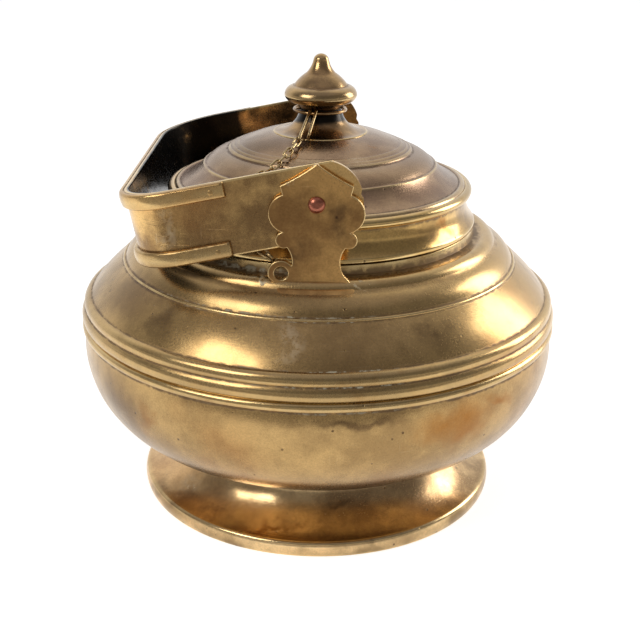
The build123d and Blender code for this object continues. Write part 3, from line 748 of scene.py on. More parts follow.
def grooves_and_ridges(points):
    """How hollow or proud each point is: how far the mean of the outline near it lies outside it."""
    closed = np.vstack([points, points[:1]])
    length = np.append(0.0, np.cumsum(np.linalg.norm(np.diff(closed, axis=0), axis=1)))
    even = np.linspace(0.0, length[-1], int(length[-1] / SAMPLE), endpoint=False)
    line = np.column_stack([np.interp(even, length, closed[:, k]) for k in range(2)])
    half = int(GROOVE_REACH / SAMPLE)
    padded = np.vstack([line[-half:], line, line[:half]])
    kernel = np.ones(2 * half + 1) / (2 * half + 1)
    mean = np.column_stack([np.convolve(padded[:, k], kernel, "valid") for k in range(2)])
    travel = np.roll(line, -TRAVEL_SAMPLES, axis=0) - np.roll(line, TRAVEL_SAMPLES, axis=0)
    travel /= np.linalg.norm(travel, axis=1)[:, None] + 1e-9
    outward = np.column_stack([travel[:, 1], -travel[:, 0]])
    hollow = ((mean - line) * outward).sum(1) / (SAMPLE * GROOVE_REACH)
    at_points = np.interp(length[:-1], even, hollow, period=length[-1])
    return np.clip(at_points, 0, 1), np.clip(-at_points, 0, 1), length[:-1]


# %% [markdown]
# A grid of points becomes a mesh with one quad between each four neighbours. The face list is
# index arithmetic on whole arrays, and the masks are stored as point attributes, which a finish
# reads by name. Points that lie on each other, as at a pole, are merged afterwards.

# %% Mesh tools
SAME_PLACE = 1e-7
NO_LENGTH = 1e-8


def grid_faces(rows, columns, close_rows=True, close_columns=True):
    """Quads between neighbouring points of a grid, whose rows and columns may close on themselves."""
    i = np.arange(rows if close_rows else rows - 1)[:, None]
    j = np.arange(columns if close_columns else columns - 1)[None, :]
    below, right = (i + 1) % rows, (j + 1) % columns
    corners = [i * columns + j, i * columns + right, below * columns + right, below * columns + j]
    return np.stack([corner + 0 * (i + j) for corner in corners], axis=-1).reshape(-1, 4)


def store(mesh, mask, values):
    """Keeps one value for each point under the mask's name."""
    stored = mesh.attributes.new(mask, "FLOAT", "POINT")
    stored.data.foreach_set("value", np.asarray(values, np.float32))


def weld(mesh):
    """Merges points that lie on each other, such as a pole's, and drops faces that vanish."""
    work = bmesh.new()
    work.from_mesh(mesh)
    bmesh.ops.remove_doubles(work, verts=work.verts, dist=SAME_PLACE)
    bmesh.ops.dissolve_degenerate(work, edges=work.edges, dist=NO_LENGTH)
    work.to_mesh(mesh)
    work.free()


# %% [markdown]
# Every piece is shown the same way, with its place in its mesh and its object at the origin. Those
# that stand for a piece of the CAD model hide it and take its body, so that they move with it.


# %% Pieces
def shown(name, mesh, finish, sharp=None):
    """Object at the origin in a finish, smooth but for edges that turn by more than sharp."""
    mesh.materials.append(FINISH[finish])
    mesh.shade_smooth()
    if sharp:
        mesh.set_sharp_from_angle(angle=sharp)
    piece = bpy.data.objects.new(name, mesh)
    bpy.context.scene.collection.objects.link(piece)
    print(name, "has", len(mesh.polygons), "faces")
    return piece


def make_piece(name, points, faces, finish, masks=None, sharp=None):
    """Object from points in millimetres, with welded poles and stored masks."""
    mesh = bpy.data.meshes.new(name)
    mesh.from_pydata((points * MM).tolist(), [], faces.tolist())
    for mask, values in (masks or {}).items():
        store(mesh, mask, values)
    weld(mesh)
    return shown(name, mesh, finish, sharp)


def dress(piece, node, body):
    """The piece stands for a CAD node, which is hidden, and moves with its body."""
    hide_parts(node)
    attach(piece, body)
    return piece


# %% [markdown]
# The Screw modifier or the Spin tool could turn an outline too. Here the sweep is a formula, so
# that a hand-made wobble can be added to it, and each point of the outline keeps its masks all the
# way round. A face whose outline runs along the axis would have no width, so it is left out.

# %% Turning
SEGMENTS = 288


def revolved(loop, count, hand_made=None):
    """Points and quads of an outline carried round: radius times cosine, radius times sine, height."""
    angle = np.linspace(0.0, 2 * np.pi, count, endpoint=False)
    radius = np.repeat(loop[:, :1], count, axis=1)
    height = np.repeat(loop[:, 1:], count, axis=1)
    if hand_made:
        radius, height = hand_made(radius, height, angle[None, :])
    points = np.stack([radius * np.cos(angle), radius * np.sin(angle), height], axis=-1)
    on_axis = loop[:, 0] < ON_AXIS
    vanished = np.repeat(on_axis & np.roll(on_axis, -1), count)
    return points.reshape(-1, 3), grid_faces(len(loop), count)[~vanished]


def turned(name, outline_points, finish, hand_made=None, corner=0.35, soot=None):
    """Piece with its corners rubbed round, carried round the axis, and its masks."""
    loop = anticlockwise(rubbed_round(outline_points, corner))
    points, faces = revolved(loop, SEGMENTS, hand_made)
    crevice, ridge, along = grooves_and_ridges(loop)
    black = soot(loop) if soot else 0 * along
    lines = {"crevice": crevice, "ridge": ridge, "along": along * MM, "soot": black}
    masks = {mask: np.repeat(values, SEGMENTS) for mask, values in lines.items()}
    return make_piece(name, points, faces, finish, masks)


# %% [markdown]
# Beaten and turned by hand, the pot is not quite round. The same gentle waves move all its pieces
# together, so that nothing comes apart at a joint: they fade out towards the neck, where the lid
# has to fit. Each wave is its height in millimetres times the sine of a whole number of angles.

# %% Hand work
WAVES_FROM = 88.0
WAVES_FULL = 22.0


def pot_waves(radius, height, angle):
    """Radius plus slow waves round the pot and short ones over the belly, half a millimetre at most."""
    slow = 0.28 * np.cos(2 * (angle - 0.7)) + 0.16 * np.cos(3 * angle + 1.1 + height / 34.0)
    short = 0.05 * np.sin(11 * angle + height / 7.0) + 0.04 * np.sin(17 * angle - height / 5.2 + 2.0)
    reach = np.clip((radius - WAVES_FROM) / WAVES_FULL, 0.0, 1.0)
    return radius + (slow + short) * reach, height


def lid_waves(radius, height, angle):
    """Small dents over the lid: the height moves by under a tenth of a millimetre."""
    ripple = 0.05 * np.sin(5 * angle + radius / 9.0) + 0.035 * np.sin(9 * angle - radius / 6.0 + 1.0)
    return radius, height + ripple * np.clip(radius / 40.0, 0.0, 1.0)


# %% [markdown]
# ## The foot
#
# A cast and turned ring with a rounded lip, a thin bead line and a long hollow curve up to the
# belly. It is seen from above, so the curve shows the brightest streaks of both soft boxes.

# %% Foot
POT_WALL = 2.0
FOOT_RADIUS = 93.0
FOOT_LIP = 7.6
LIP_ROUND = 0.8
LIP_LINE = 1.8
FOOT_WAIST = 71.5
FOOT_HEIGHT = 31.0
FOOT_WALL = 3.0
BOWL_FLAT = 70.0
FOOT_SEAT = BOWL_FLAT - 12.0

foot = turned(
    "foot",
    outline(
        (FOOT_RADIUS - LIP_ROUND, 0.0),
        ((FOOT_RADIUS, 0.45 * FOOT_LIP), (FOOT_RADIUS - LIP_ROUND, 0.9 * FOOT_LIP)),
        (FOOT_RADIUS - LIP_LINE, FOOT_LIP),
        ((FOOT_WAIST + 7.0, FOOT_LIP + 6.9), (FOOT_WAIST, FOOT_HEIGHT - 7.0)),
        (BOWL_FLAT, FOOT_HEIGHT),
        (FOOT_SEAT, FOOT_HEIGHT),
        (FOOT_SEAT, FOOT_HEIGHT - FOOT_WALL),
        (FOOT_WAIST - FOOT_WALL - 1.0, FOOT_HEIGHT - FOOT_WALL - 3.0),
        ((FOOT_WAIST + 4.0, FOOT_LIP + 5.4), (FOOT_RADIUS - LIP_LINE - FOOT_WALL - 3.0, FOOT_LIP - 2.0)),
        (FOOT_RADIUS - LIP_ROUND - FOOT_WALL, 0.0),
    ),
    "foot_brass",
)
dress(foot, "foot_ring", "pot")

# %% [markdown]
# ## The belly and the shoulder
#
# The pot was raised in two halves and joined at the girdle, where three half-round beads hide the
# seam. The lower half is one full curve, an arc from its flat bottom up to the girdle, with a lap
# that stands up inside the joint.

# %% Belly
BELLY_RADIUS = 119.4
BOWL_DEPTH = 58.5
GIRDLE_Z = FOOT_HEIGHT + BOWL_DEPTH
BEADS_Z = (GIRDLE_Z, GIRDLE_Z + 4.5, GIRDLE_Z + 11.7, GIRDLE_Z + 17.5)
LOW_BEAD = 1.6
LAP_HEIGHT = 6.0
LAP_WALL = 1.6
BOWL_RUN = BELLY_RADIUS - BOWL_FLAT
BOWL_RADIUS = (BOWL_RUN**2 + BOWL_DEPTH**2) / (2 * BOWL_DEPTH)
BOWL_TURN = np.arctan2(BOWL_RUN, BOWL_RADIUS - BOWL_DEPTH)
INNER_TOP = BELLY_RADIUS - POT_WALL
LAP_TOP = BEADS_Z[1] + LAP_HEIGHT


def bowl_side(wall):
    """Point halfway up the bowl's round side: flat plus radius times sine, less radius times cosine."""
    side = BOWL_RADIUS - wall
    middle = BOWL_TURN / 2
    return (BOWL_FLAT + side * np.sin(middle), FOOT_HEIGHT + BOWL_RADIUS - side * np.cos(middle))


belly = turned(
    "belly",
    outline(
        (0.0, FOOT_HEIGHT),
        (BOWL_FLAT, FOOT_HEIGHT),
        (bowl_side(0.0), (BELLY_RADIUS, GIRDLE_Z)),
        ((BELLY_RADIUS + LOW_BEAD, (BEADS_Z[0] + BEADS_Z[1]) / 2), (BELLY_RADIUS, BEADS_Z[1])),
        (INNER_TOP, BEADS_Z[1]),
        (INNER_TOP, LAP_TOP),
        (INNER_TOP - LAP_WALL, LAP_TOP),
        (INNER_TOP - LAP_WALL, GIRDLE_Z - 4.0),
        (bowl_side(POT_WALL), (BOWL_FLAT, FOOT_HEIGHT + POT_WALL)),
        (0.0, FOOT_HEIGHT + POT_WALL),
    ),
    "body_brass",
    pot_waves,
    corner=0.3,
)
dress(belly, "bowl", "pot")

# %% [markdown]
# The upper half steps in twice: a thin crisp ridge where the shoulder steps up, and the rounded
# ledge round the mouth, which carries the lugs and stops the bail. All the sizes from the neck
# outwards follow one another, because lid, strap and lugs lie closely side by side.

# %% Shoulder
SHOULDER_TOP = BELLY_RADIUS - 3.8
STEP_Z = BEADS_Z[3] + 16.4
STEP_RADIUS = SHOULDER_TOP - 16.4
STEP_RIDGE = 1.15
LEDGE_Z = STEP_Z + 10.5
LEDGE_TOP_Z = LEDGE_Z + 3.6
MOUTH_Z = LEDGE_TOP_Z + 4.2
NECK_RADIUS = 71.0
NECK_FLANGE = NECK_RADIUS + 3.0
SKIRT_BORE = NECK_RADIUS + 0.3
WAIST_RADIUS = SKIRT_BORE + 2.0
RIM_RADIUS = WAIST_RADIUS + 4.6
ARM_INNER = RIM_RADIUS + 1.5
STRAP_THICKNESS = 2.2
ARM_OUTER = ARM_INNER + STRAP_THICKNESS
LUG_INNER = ARM_OUTER + 0.8
LUG_OUTER = LUG_INNER + 2.8
LEDGE_RADIUS = LUG_OUTER + 3.2
UNDER_LEDGE_Z = LEDGE_TOP_Z - POT_WALL
UNDER_MOUTH_Z = MOUTH_Z - POT_WALL
rise_middle = ((STEP_RADIUS - 0.6 + LEDGE_RADIUS) / 2 + 0.6, (STEP_Z + 0.8 + LEDGE_Z) / 2 + 1.0)
slope_middle = ((SHOULDER_TOP + STEP_RADIUS) / 2 + 0.6, (BEADS_Z[3] + STEP_Z) / 2 + 0.6)

shoulder = turned(
    "shoulder_steps",
    outline(
        (INNER_TOP, BEADS_Z[1]),
        (BELLY_RADIUS, BEADS_Z[1]),
        ((BELLY_RADIUS + 1.4, (BEADS_Z[1] + BEADS_Z[2]) / 2), (BELLY_RADIUS - 0.5, BEADS_Z[2])),
        ((BELLY_RADIUS - 0.3, (BEADS_Z[2] + BEADS_Z[3]) / 2 + 0.4), (SHOULDER_TOP, BEADS_Z[3])),
        (slope_middle, (STEP_RADIUS, STEP_Z)),
        (STEP_RADIUS + 0.15, STEP_Z + 0.55),
        (STEP_RADIUS - 0.4, STEP_Z + STEP_RIDGE),
        (STEP_RADIUS - 1.2, STEP_Z + STEP_RIDGE),
        (rise_middle, (LEDGE_RADIUS + 1.2, LEDGE_Z - 0.9)),
        (LEDGE_RADIUS, LEDGE_Z + 0.2),
        ((LEDGE_RADIUS - 1.6, LEDGE_Z + 2.52), (ARM_OUTER, LEDGE_TOP_Z)),
        (RIM_RADIUS, LEDGE_TOP_Z + 0.2),
        (RIM_RADIUS - 0.9, MOUTH_Z),
        (NECK_RADIUS, MOUTH_Z),
        (NECK_RADIUS, UNDER_MOUTH_Z),
        (NECK_FLANGE, UNDER_MOUTH_Z),
        (NECK_FLANGE + 0.8, UNDER_LEDGE_Z),
        (ARM_OUTER - POT_WALL, UNDER_LEDGE_Z),
        (LEDGE_RADIUS - POT_WALL - 0.6, LEDGE_Z - POT_WALL),
        (STEP_RADIUS - POT_WALL, STEP_Z - POT_WALL),
        (SHOULDER_TOP - POT_WALL - 1.6, BEADS_Z[3] - 1.2),
        (INNER_TOP, BEADS_Z[2]),
    ),
    "body_brass",
    pot_waves,
    corner=0.22,
)
dress(shoulder, "shoulder", "pot")

# %% [markdown]
# The neck collar is a plain upright ring in the mouth, which the lid drops over. It is seen only
# when the lid is lifted, so its outline is a simple L.

# %% Neck collar
NECK_TOP_Z = MOUTH_Z + 15.3
NECK_WALL = 2.0
FLANGE_Z = UNDER_MOUTH_Z - NECK_WALL

collar = turned(
    "collar",
    outline(
        (NECK_RADIUS - NECK_WALL, FLANGE_Z),
        (NECK_FLANGE, FLANGE_Z),
        (NECK_FLANGE, UNDER_MOUTH_Z),
        (NECK_RADIUS, UNDER_MOUTH_Z),
        (NECK_RADIUS, NECK_TOP_Z),
        (NECK_RADIUS - NECK_WALL, NECK_TOP_Z),
    ),
    "body_brass",
)
dress(collar, "neck_collar", "pot")

# %% [markdown]
# ## The lid
#
# The lid drops over the neck like a cap: a skirt with a flared edge and a bead, then a dome in
# three steps. The skirt catches the light like the body, so it has a brighter finish of its own.

# %% Lid skirt
RIM_Z = MOUTH_Z + 0.8
RIM_LIP_Z = RIM_Z + 1.8
SEAT_Z = NECK_TOP_Z + 0.2
SEAT_RADIUS = SKIRT_BORE - 6.0
DOME_Z = SEAT_Z + 2.8
BEAD_Z = DOME_Z - 0.8
BEAD_HALF = 2.4
CAP_EDGE = WAIST_RADIUS - 0.9
flare_middle = (WAIST_RADIUS + 1.15, RIM_LIP_Z + 0.45 * (SEAT_Z - RIM_Z - 2.8))

lid_skirt = turned(
    "lid_skirt",
    outline(
        (SKIRT_BORE, RIM_Z),
        (RIM_RADIUS, RIM_Z),
        (RIM_RADIUS, RIM_LIP_Z),
        (flare_middle, (WAIST_RADIUS, SEAT_Z - 1.0)),
        (WAIST_RADIUS, BEAD_Z - BEAD_HALF),
        ((WAIST_RADIUS + 2.5, BEAD_Z), (WAIST_RADIUS, BEAD_Z + BEAD_HALF)),
        (CAP_EDGE, BEAD_Z + BEAD_HALF),
        (CAP_EDGE, DOME_Z),
        (SEAT_RADIUS, DOME_Z),
        (SEAT_RADIUS, SEAT_Z),
        (SKIRT_BORE, SEAT_Z),
    ),
    "skirt_brass",
    corner=0.5,
)
dress(lid_skirt, "lid_rim", "lid")

# %% [markdown]
# The dome's rings are steps of the outline itself, because lines that stand out at the edge of the
# lid show as small bumps in its silhouette too. Painted or bump-mapped rings would not.

# %% Lid dome
DOME_TOP_Z = DOME_Z + 26.0
LID_WALL = 1.8
EDGE_Z = DOME_Z + 1.4
STEP_RING = 58.0
STEP_RING_Z = DOME_Z + 11.0
CROWN_RING = 45.5
CROWN_Z = DOME_Z + 18.1
KNOB_BASE = 23.4
TANG_HOLE = 4.05
UNDER_DOME_Z = DOME_TOP_Z - LID_WALL
sweep_middle = ((CAP_EDGE + STEP_RING) / 2 - 0.6, (EDGE_Z + STEP_RING_Z - 0.9) / 2 - 1.0)
step_middle = ((STEP_RING + CROWN_RING) / 2 + 0.4, (STEP_RING_Z + CROWN_Z) / 2 + 0.5)
crown_middle = (0.72 * CROWN_RING, DOME_TOP_Z - 2.4)
under_step = (step_middle[0] - 1.1, step_middle[1] - LID_WALL)
under_crown = (crown_middle[0] - 0.8, crown_middle[1] - LID_WALL)

lid_crown = turned(
    "lid_crown",
    outline(
        (CAP_EDGE, DOME_Z),
        (CAP_EDGE, EDGE_Z),
        ((CAP_EDGE - 1.5, EDGE_Z + 1.35), (CAP_EDGE - 3.1, EDGE_Z + 1.0)),
        (CAP_EDGE - 3.7, EDGE_Z + 1.35),
        (sweep_middle, (STEP_RING + 0.4, STEP_RING_Z - 0.9)),
        (STEP_RING - 0.2, STEP_RING_Z + 0.1),
        (STEP_RING - 1.2, STEP_RING_Z + 0.2),
        (step_middle, (CROWN_RING + 0.2, CROWN_Z - 0.7)),
        (CROWN_RING, CROWN_Z),
        (CROWN_RING - 1.1, CROWN_Z + 0.8),
        (CROWN_RING - 1.5, CROWN_Z + 0.7),
        (CROWN_RING - 2.9, CROWN_Z + 1.6),
        (CROWN_RING - 3.3, CROWN_Z + 1.6),
        (CROWN_RING - 5.6, CROWN_Z + 2.75),
        (CROWN_RING - 6.0, CROWN_Z + 2.75),
        (crown_middle, (KNOB_BASE, DOME_TOP_Z)),
        (TANG_HOLE, DOME_TOP_Z),
        (TANG_HOLE, UNDER_DOME_Z),
        (KNOB_BASE - 1.0, UNDER_DOME_Z),
        (under_crown, (CROWN_RING - 3.7, CROWN_Z + 1.5 - LID_WALL)),
        (CROWN_RING - 2.0, CROWN_Z - LID_WALL),
        (under_step, (STEP_RING - 2.0, STEP_RING_Z - 2.3)),
        (CAP_EDGE - 6.0, DOME_Z),
    ),
    "lid_brass",
    lid_waves,
    corner=0.4,
)
dress(lid_crown, "lid_dome", "lid")

# %% [markdown]
# The knob is one turning: a foot that flows into the lid, a waist where the neck wire runs, a
# broad collar and a spire with a small ball tip. Its tang goes down through the lid and is peened
# over under it. No cloth reaches into the waist, so soot and grease stay there.

# %% Knob
KNOB_NECK = 10.7
KNOB_CREST = 17.8
KNOB_TOP_Z = DOME_TOP_Z + 37.6
KNOB_CREST_Z = DOME_TOP_Z + 18.0
KNOB_TIP = 0.2 * KNOB_CREST
TIP_RISE = 2.2
TIP_BALL = (KNOB_TIP**2 + TIP_RISE**2) / (2 * TIP_RISE)
TANG_RADIUS = 4.0
PEEN_Z = UNDER_DOME_Z - 1.5
SOOT_Z = DOME_TOP_Z + 9.0
SOOT_SPREAD = 4.5
SOOT_WITHIN = 13.0


def knob_outline():
    """The knob's outline, from the peened end under the lid to the tip."""
    half = np.arcsin(KNOB_TIP / TIP_BALL) / 2
    ball_side = (TIP_BALL * np.sin(half), KNOB_TOP_Z - TIP_BALL * (1 - np.cos(half)))
    return outline(
        (0.0, PEEN_Z - 1.4),
        ((4.2, PEEN_Z - 0.9), (5.6, PEEN_Z)),
        (TANG_RADIUS, PEEN_Z),
        (TANG_RADIUS, DOME_TOP_Z),
        (KNOB_BASE, DOME_TOP_Z),
        (KNOB_BASE - 0.6, DOME_TOP_Z + 0.5),
        ((KNOB_NECK + 3.3, DOME_TOP_Z + 3.7), (KNOB_NECK, DOME_TOP_Z + 9.0)),
        ((KNOB_NECK + 0.3, DOME_TOP_Z + 12.8), (0.72 * KNOB_CREST, KNOB_CREST_Z - 3.6)),
        ((0.94 * KNOB_CREST, KNOB_CREST_Z - 2.2), (KNOB_CREST, KNOB_CREST_Z - 0.3)),
        ((0.97 * KNOB_CREST, KNOB_CREST_Z + 1.9), (0.78 * KNOB_CREST, KNOB_CREST_Z + 4.4)),
        (0.74 * KNOB_CREST, KNOB_CREST_Z + 4.6),
        ((0.62 * KNOB_CREST, KNOB_CREST_Z + 7.2), (0.4 * KNOB_CREST, KNOB_TOP_Z - 9.2)),
        ((0.27 * KNOB_CREST, KNOB_TOP_Z - 6.0), (KNOB_TIP, KNOB_TOP_Z - TIP_RISE)),
        (ball_side, (0.0, KNOB_TOP_Z)),
        spacing=0.8,
    )


def knob_soot(loop):
    """Black in the waist: a bell curve of the height above the lid, near the axis only."""
    return 0.8 * np.exp(-(((loop[:, 1] - SOOT_Z) / SOOT_SPREAD) ** 2)) * (loop[:, 0] < SOOT_WITHIN)


knob = turned("knob_turning", knob_outline(), "knob_brass", corner=0.4, soot=knob_soot)
dress(knob, "knob", "lid")

# %% [markdown]
# ## The bail
#
# A flat brass strap bent into a U, with a half-round bar pinned along each edge. The strap's
# section is a thin rounded rectangle and each bar's a smaller one, and both are carried along the
# same plan: front arm, corner, crossbar, corner, rear arm. The front corner was bent tighter than
# the rear one. It is drawn level about the pivots and then tipped to where it rests. A curve with
# a bevel could follow the plan too, but its section couldn't carry masks or change at the ends.

# %% Bail plan
STRAP_HALF = 17.0
STRAP_REACH = 85.6
BAR_THICKNESS = 2.4
BAR_WIDTH = 7.2
CORNER_FRONT = 22.0
CORNER_REAR = 31.0
PIVOT_RISE = 34.5
PIVOT_Z = LEDGE_TOP_Z + PIVOT_RISE
TIP_START = 9.0
BAR_REACH = STRAP_REACH + BAR_THICKNESS
DROOP = np.arcsin((PIVOT_RISE - 0.3) / np.hypot(BAR_REACH, STRAP_HALF)) - np.arctan2(STRAP_HALF, BAR_REACH)
BEND_STEPS = 19
RUN_STEPS = 31


def carried(section, start):
    """Rows of points: each (beyond, height) of a section follows the plan's line that far outside.

    The arms run straight from x = start, and each corner is a quarter circle, its middle plus its
    radius times the sine and cosine.
    """
    beyond, height = section[:, :1], section[:, 1:]
    arm = ARM_INNER + beyond
    reach = STRAP_REACH - STRAP_THICKNESS + beyond
    front = CORNER_FRONT - STRAP_THICKNESS + beyond
    rear = CORNER_REAR - STRAP_THICKNESS + beyond
    bend = np.linspace(0.0, np.pi / 2, BEND_STEPS)
    run = np.linspace(0.0, 1.0, RUN_STEPS)
    x = [
        start + (front - reach - start) * run[:-1],
        front - reach - front * np.sin(bend),
        0 * run[1:-1] - reach,
        rear - reach - rear * np.cos(bend),
        rear - reach + (start + reach - rear) * run[1:],
    ]
    y = [
        0 * run[:-1] - arm,
        front - arm - front * np.cos(bend),
        front - arm + (2 * arm - front - rear) * run[1:-1],
        arm - rear + rear * np.sin(bend),
        0 * run[1:] + arm,
    ]
    along = np.concatenate(x, axis=1)
    return np.stack([along, np.concatenate(y, axis=1), height + 0 * along], axis=-1)


def tipped(points):
    """Turns level bail points about the pivots by the droop and lifts them to the pivots' height."""
    x, y, z = points[..., 0], points[..., 1], points[..., 2]
    cosine, sine = np.cos(DROOP), np.sin(DROOP)
    return np.stack([x * cosine - z * sine, y, x * sine + z * cosine + PIVOT_Z], axis=-1)


def capped(rows, columns):
    """Closed tube of faces with a strip of quads over each end, for a section that folds in half."""
    side = grid_faces(rows, columns, True, False)
    k = np.arange(rows // 2 - 1)
    first = np.stack([k, k + 1, rows - 2 - k, rows - 1 - k], axis=1) * columns
    last = first[:, ::-1] + columns - 1
    return np.vstack([side[:, ::-1], first[:, ::-1], last[:, ::-1]])


def along_bail(name, section, grid, finish, masks, sharp):
    """Piece from a level grid along the bail. A mask has one value for each row or each point."""
    full = {mask: (values + 0 * grid[..., 0]).ravel() for mask, values in masks.items()}
    faces = capped(len(section), grid.shape[1])
    return make_piece(name, tipped(grid).reshape(-1, 3), faces, finish, full, sharp)


# %% [markdown]
# The strap's ends are cut round, with a small nick behind the lug. Each row of the section is drawn
# out to its own length there. Inside the bend, soot from the fire was never polished away: it
# grows towards the crossbar and towards the rear arm, each from a place and over a run in
# millimetres. The long edges are rubbed bright.

# %% Strap
TIP_SHOULDER = (17.8, 0.56 * STRAP_HALF)
TIP_END = (20.3, 1.2)
TIP_NICK = 19.4
TIP_COLUMNS = 12
EDGE_SOFT = 0.5
EDGE_WORN = 0.6
SOOT_DEEP = 0.58
DEEP_FROM = 10.0
DEEP_RUN = 40.0
SOOT_BEHIND = 0.36
BEHIND_FROM = 60.0
BEHIND_RUN = 30.0
STRAP_SHARP = 0.6


def strap_tip(height):
    """How far the rounded end reaches at a height: an arc, and a small notch at the middle."""
    corner = arc((TIP_START, STRAP_HALF), TIP_SHOULDER, TIP_END, 0.3)
    ladder = np.vstack([[TIP_START, STRAP_HALF], corner, [TIP_NICK, 0.0]])[::-1]
    return np.interp(np.abs(height), ladder[:, 1], ladder[:, 0])


def strap_section():
    """Half the section up the outer face, rounded at the edges, and the same down the inner face."""
    lift = np.concatenate([np.linspace(-1, -0.08, 22), [0.0], np.linspace(0.08, 1, 22)])
    heights = np.sign(lift) * np.abs(lift) ** 0.8 * (STRAP_HALF - EDGE_SOFT)
    outer = np.column_stack([np.full(len(heights), STRAP_THICKNESS), heights])
    bevel = [STRAP_THICKNESS - 0.15, STRAP_HALF - 0.15]
    edge = np.array([bevel, [STRAP_THICKNESS - EDGE_SOFT, STRAP_HALF]])
    half = np.vstack([edge[::-1] * [1, -1], outer, edge])
    return np.vstack([half, (half * [-1, 1] + [STRAP_THICKNESS, 0])[::-1]])


def build_strap():
    """The strap, its rounded ends, and soot and wear masks for its inner and outer faces."""
    section = strap_section()
    body = carried(section, TIP_START)
    reach = strap_tip(section[:, 1])[:, None]
    out = np.linspace(1.0, 0.0, TIP_COLUMNS)[:-1][None, :]
    end_x = TIP_START + (reach - TIP_START) * np.sin(out * np.pi / 2)
    front, rear = (
        np.stack([end_x, body[:, side, 1:2] + 0 * out, section[:, 1:] + 0 * out], axis=-1)
        for side in (0, -1)
    )
    grid = np.concatenate([front, body, rear[:, ::-1]], axis=1)
    inside = section[:, :1] < 0.3 * STRAP_THICKNESS
    deep = np.clip((-grid[..., 0] - DEEP_FROM) / DEEP_RUN, 0.0, 1.0)
    behind = np.clip((grid[..., 1] + BEHIND_FROM) / BEHIND_RUN, 0.0, 1.0)
    masks = {
        "soot": inside * np.maximum(SOOT_DEEP * deep**2, SOOT_BEHIND * behind),
        "ridge": np.abs(section[:, 1:]) > STRAP_HALF - EDGE_WORN,
    }
    return along_bail("bail_band", section, grid, "strap_brass", masks, STRAP_SHARP)


dress(build_strap(), "bail_strap", "bail")

# %% [markdown]
# The bars run along the strap's outside and stop short of the pivots. Their crown is rubbed, dirt
# and painted shade lie where they meet the strap, and their ends are filed down to it.

# %% Bars
BAR_SOFT = 1.4
BAR_CROWN = 0.25
BAR_SHARP = 0.9
CREST_WIDTH = 1.6
CREST_RUB = 0.5
SEAM_HEIGHT = 0.9
SEAM_DIRT_AND_SHADE = 0.8
FILED = ((0.0, 0.45), (0.5, 0.85), (1.5, 1.0))


def bar_section(low):
    """Bar section with round outer edges: up the outer face, and straight down the inner one."""
    turn = np.linspace(0.0, np.pi / 2, 6)
    thick = STRAP_THICKNESS + BAR_THICKNESS
    out = thick - BAR_SOFT + BAR_SOFT * np.cos(turn)
    upper = np.column_stack([out, low + BAR_WIDTH - BAR_SOFT + BAR_SOFT * np.sin(turn)])
    lower = upper[::-1] * [1, -1] + [0, 2 * low + BAR_WIDTH]
    crown = np.array([[thick + BAR_CROWN, low + BAR_WIDTH * k] for k in (0.35, 0.5, 0.65)])
    half = np.vstack([lower, crown, upper])
    inner = np.column_stack([np.full(len(half), STRAP_THICKNESS), half[:, 1]])
    return np.vstack([half, inner[::-1]])


def build_bar(name, low, start):
    """Bar whose thickness shrinks by a share at each small inset from its ends."""
    section = bar_section(low)
    filed = []
    for inset, share in FILED:
        squeezed = section.copy()
        squeezed[:, 0] = STRAP_THICKNESS + (section[:, 0] - STRAP_THICKNESS) * share
        filed.append(carried(squeezed, -start - inset)[:, [0, -1]])
    front = np.stack([part[:, 0] for part in filed], axis=1)
    rear = np.stack([part[:, 1] for part in filed], axis=1)[:, ::-1]
    grid = np.concatenate([front, carried(section, -start)[:, 2:-2], rear], axis=1)
    crest = (section[:, 1:] - low - BAR_WIDTH / 2) / CREST_WIDTH
    masks = {
        # dark line where the bar meets the strap: dirt and painted shade
        "crevice": SEAM_DIRT_AND_SHADE * (section[:, :1] < STRAP_THICKNESS + SEAM_HEIGHT),
        "ridge": CREST_RUB * np.exp(-(crest**2)),
    }
    return along_bail(name, section, grid, "bar_brass", masks, BAR_SHARP)


for name, node, low, start in (
    ("bail_upper_bar", "bail_bar_upper", STRAP_HALF - BAR_WIDTH, 38.0),
    ("bail_lower_bar", "bail_bar_lower", -STRAP_HALF, 40.5),
):
    dress(build_bar(name, low, start), node, "bail")

# %% [markdown]
# ## Lugs and rivets
#
# Each lug is a cast plate cut to a scalloped outline, with an ear at one side for the chain. A
# flat curve fills and rounds such an outline in one step, and it is turned into a mesh before it
# is put in place. A grid would need a fan of odd faces round the ear's hole.

# %% Lug
EAR_HOLE = 3.0
EAR_Z = LEDGE_TOP_Z + 0.1 + EAR_HOLE
EAR_DROP = PIVOT_Z - EAR_Z
EAR_OFFSET = 15.4
EAR_RADIUS = 5.9
EAR_BACK = 1.12 * np.pi
EAR_POINTS = 34
LUG_WORN = 0.55
LUG_SHARP = 0.7
LUG_MIDDLE = (LUG_INNER + LUG_OUTER) / 2
LUG_HALF = (LUG_OUTER - LUG_INNER) / 2
LUG_FOOT = 18.2
SIDES = {"front": 0.0, "rear": np.pi}


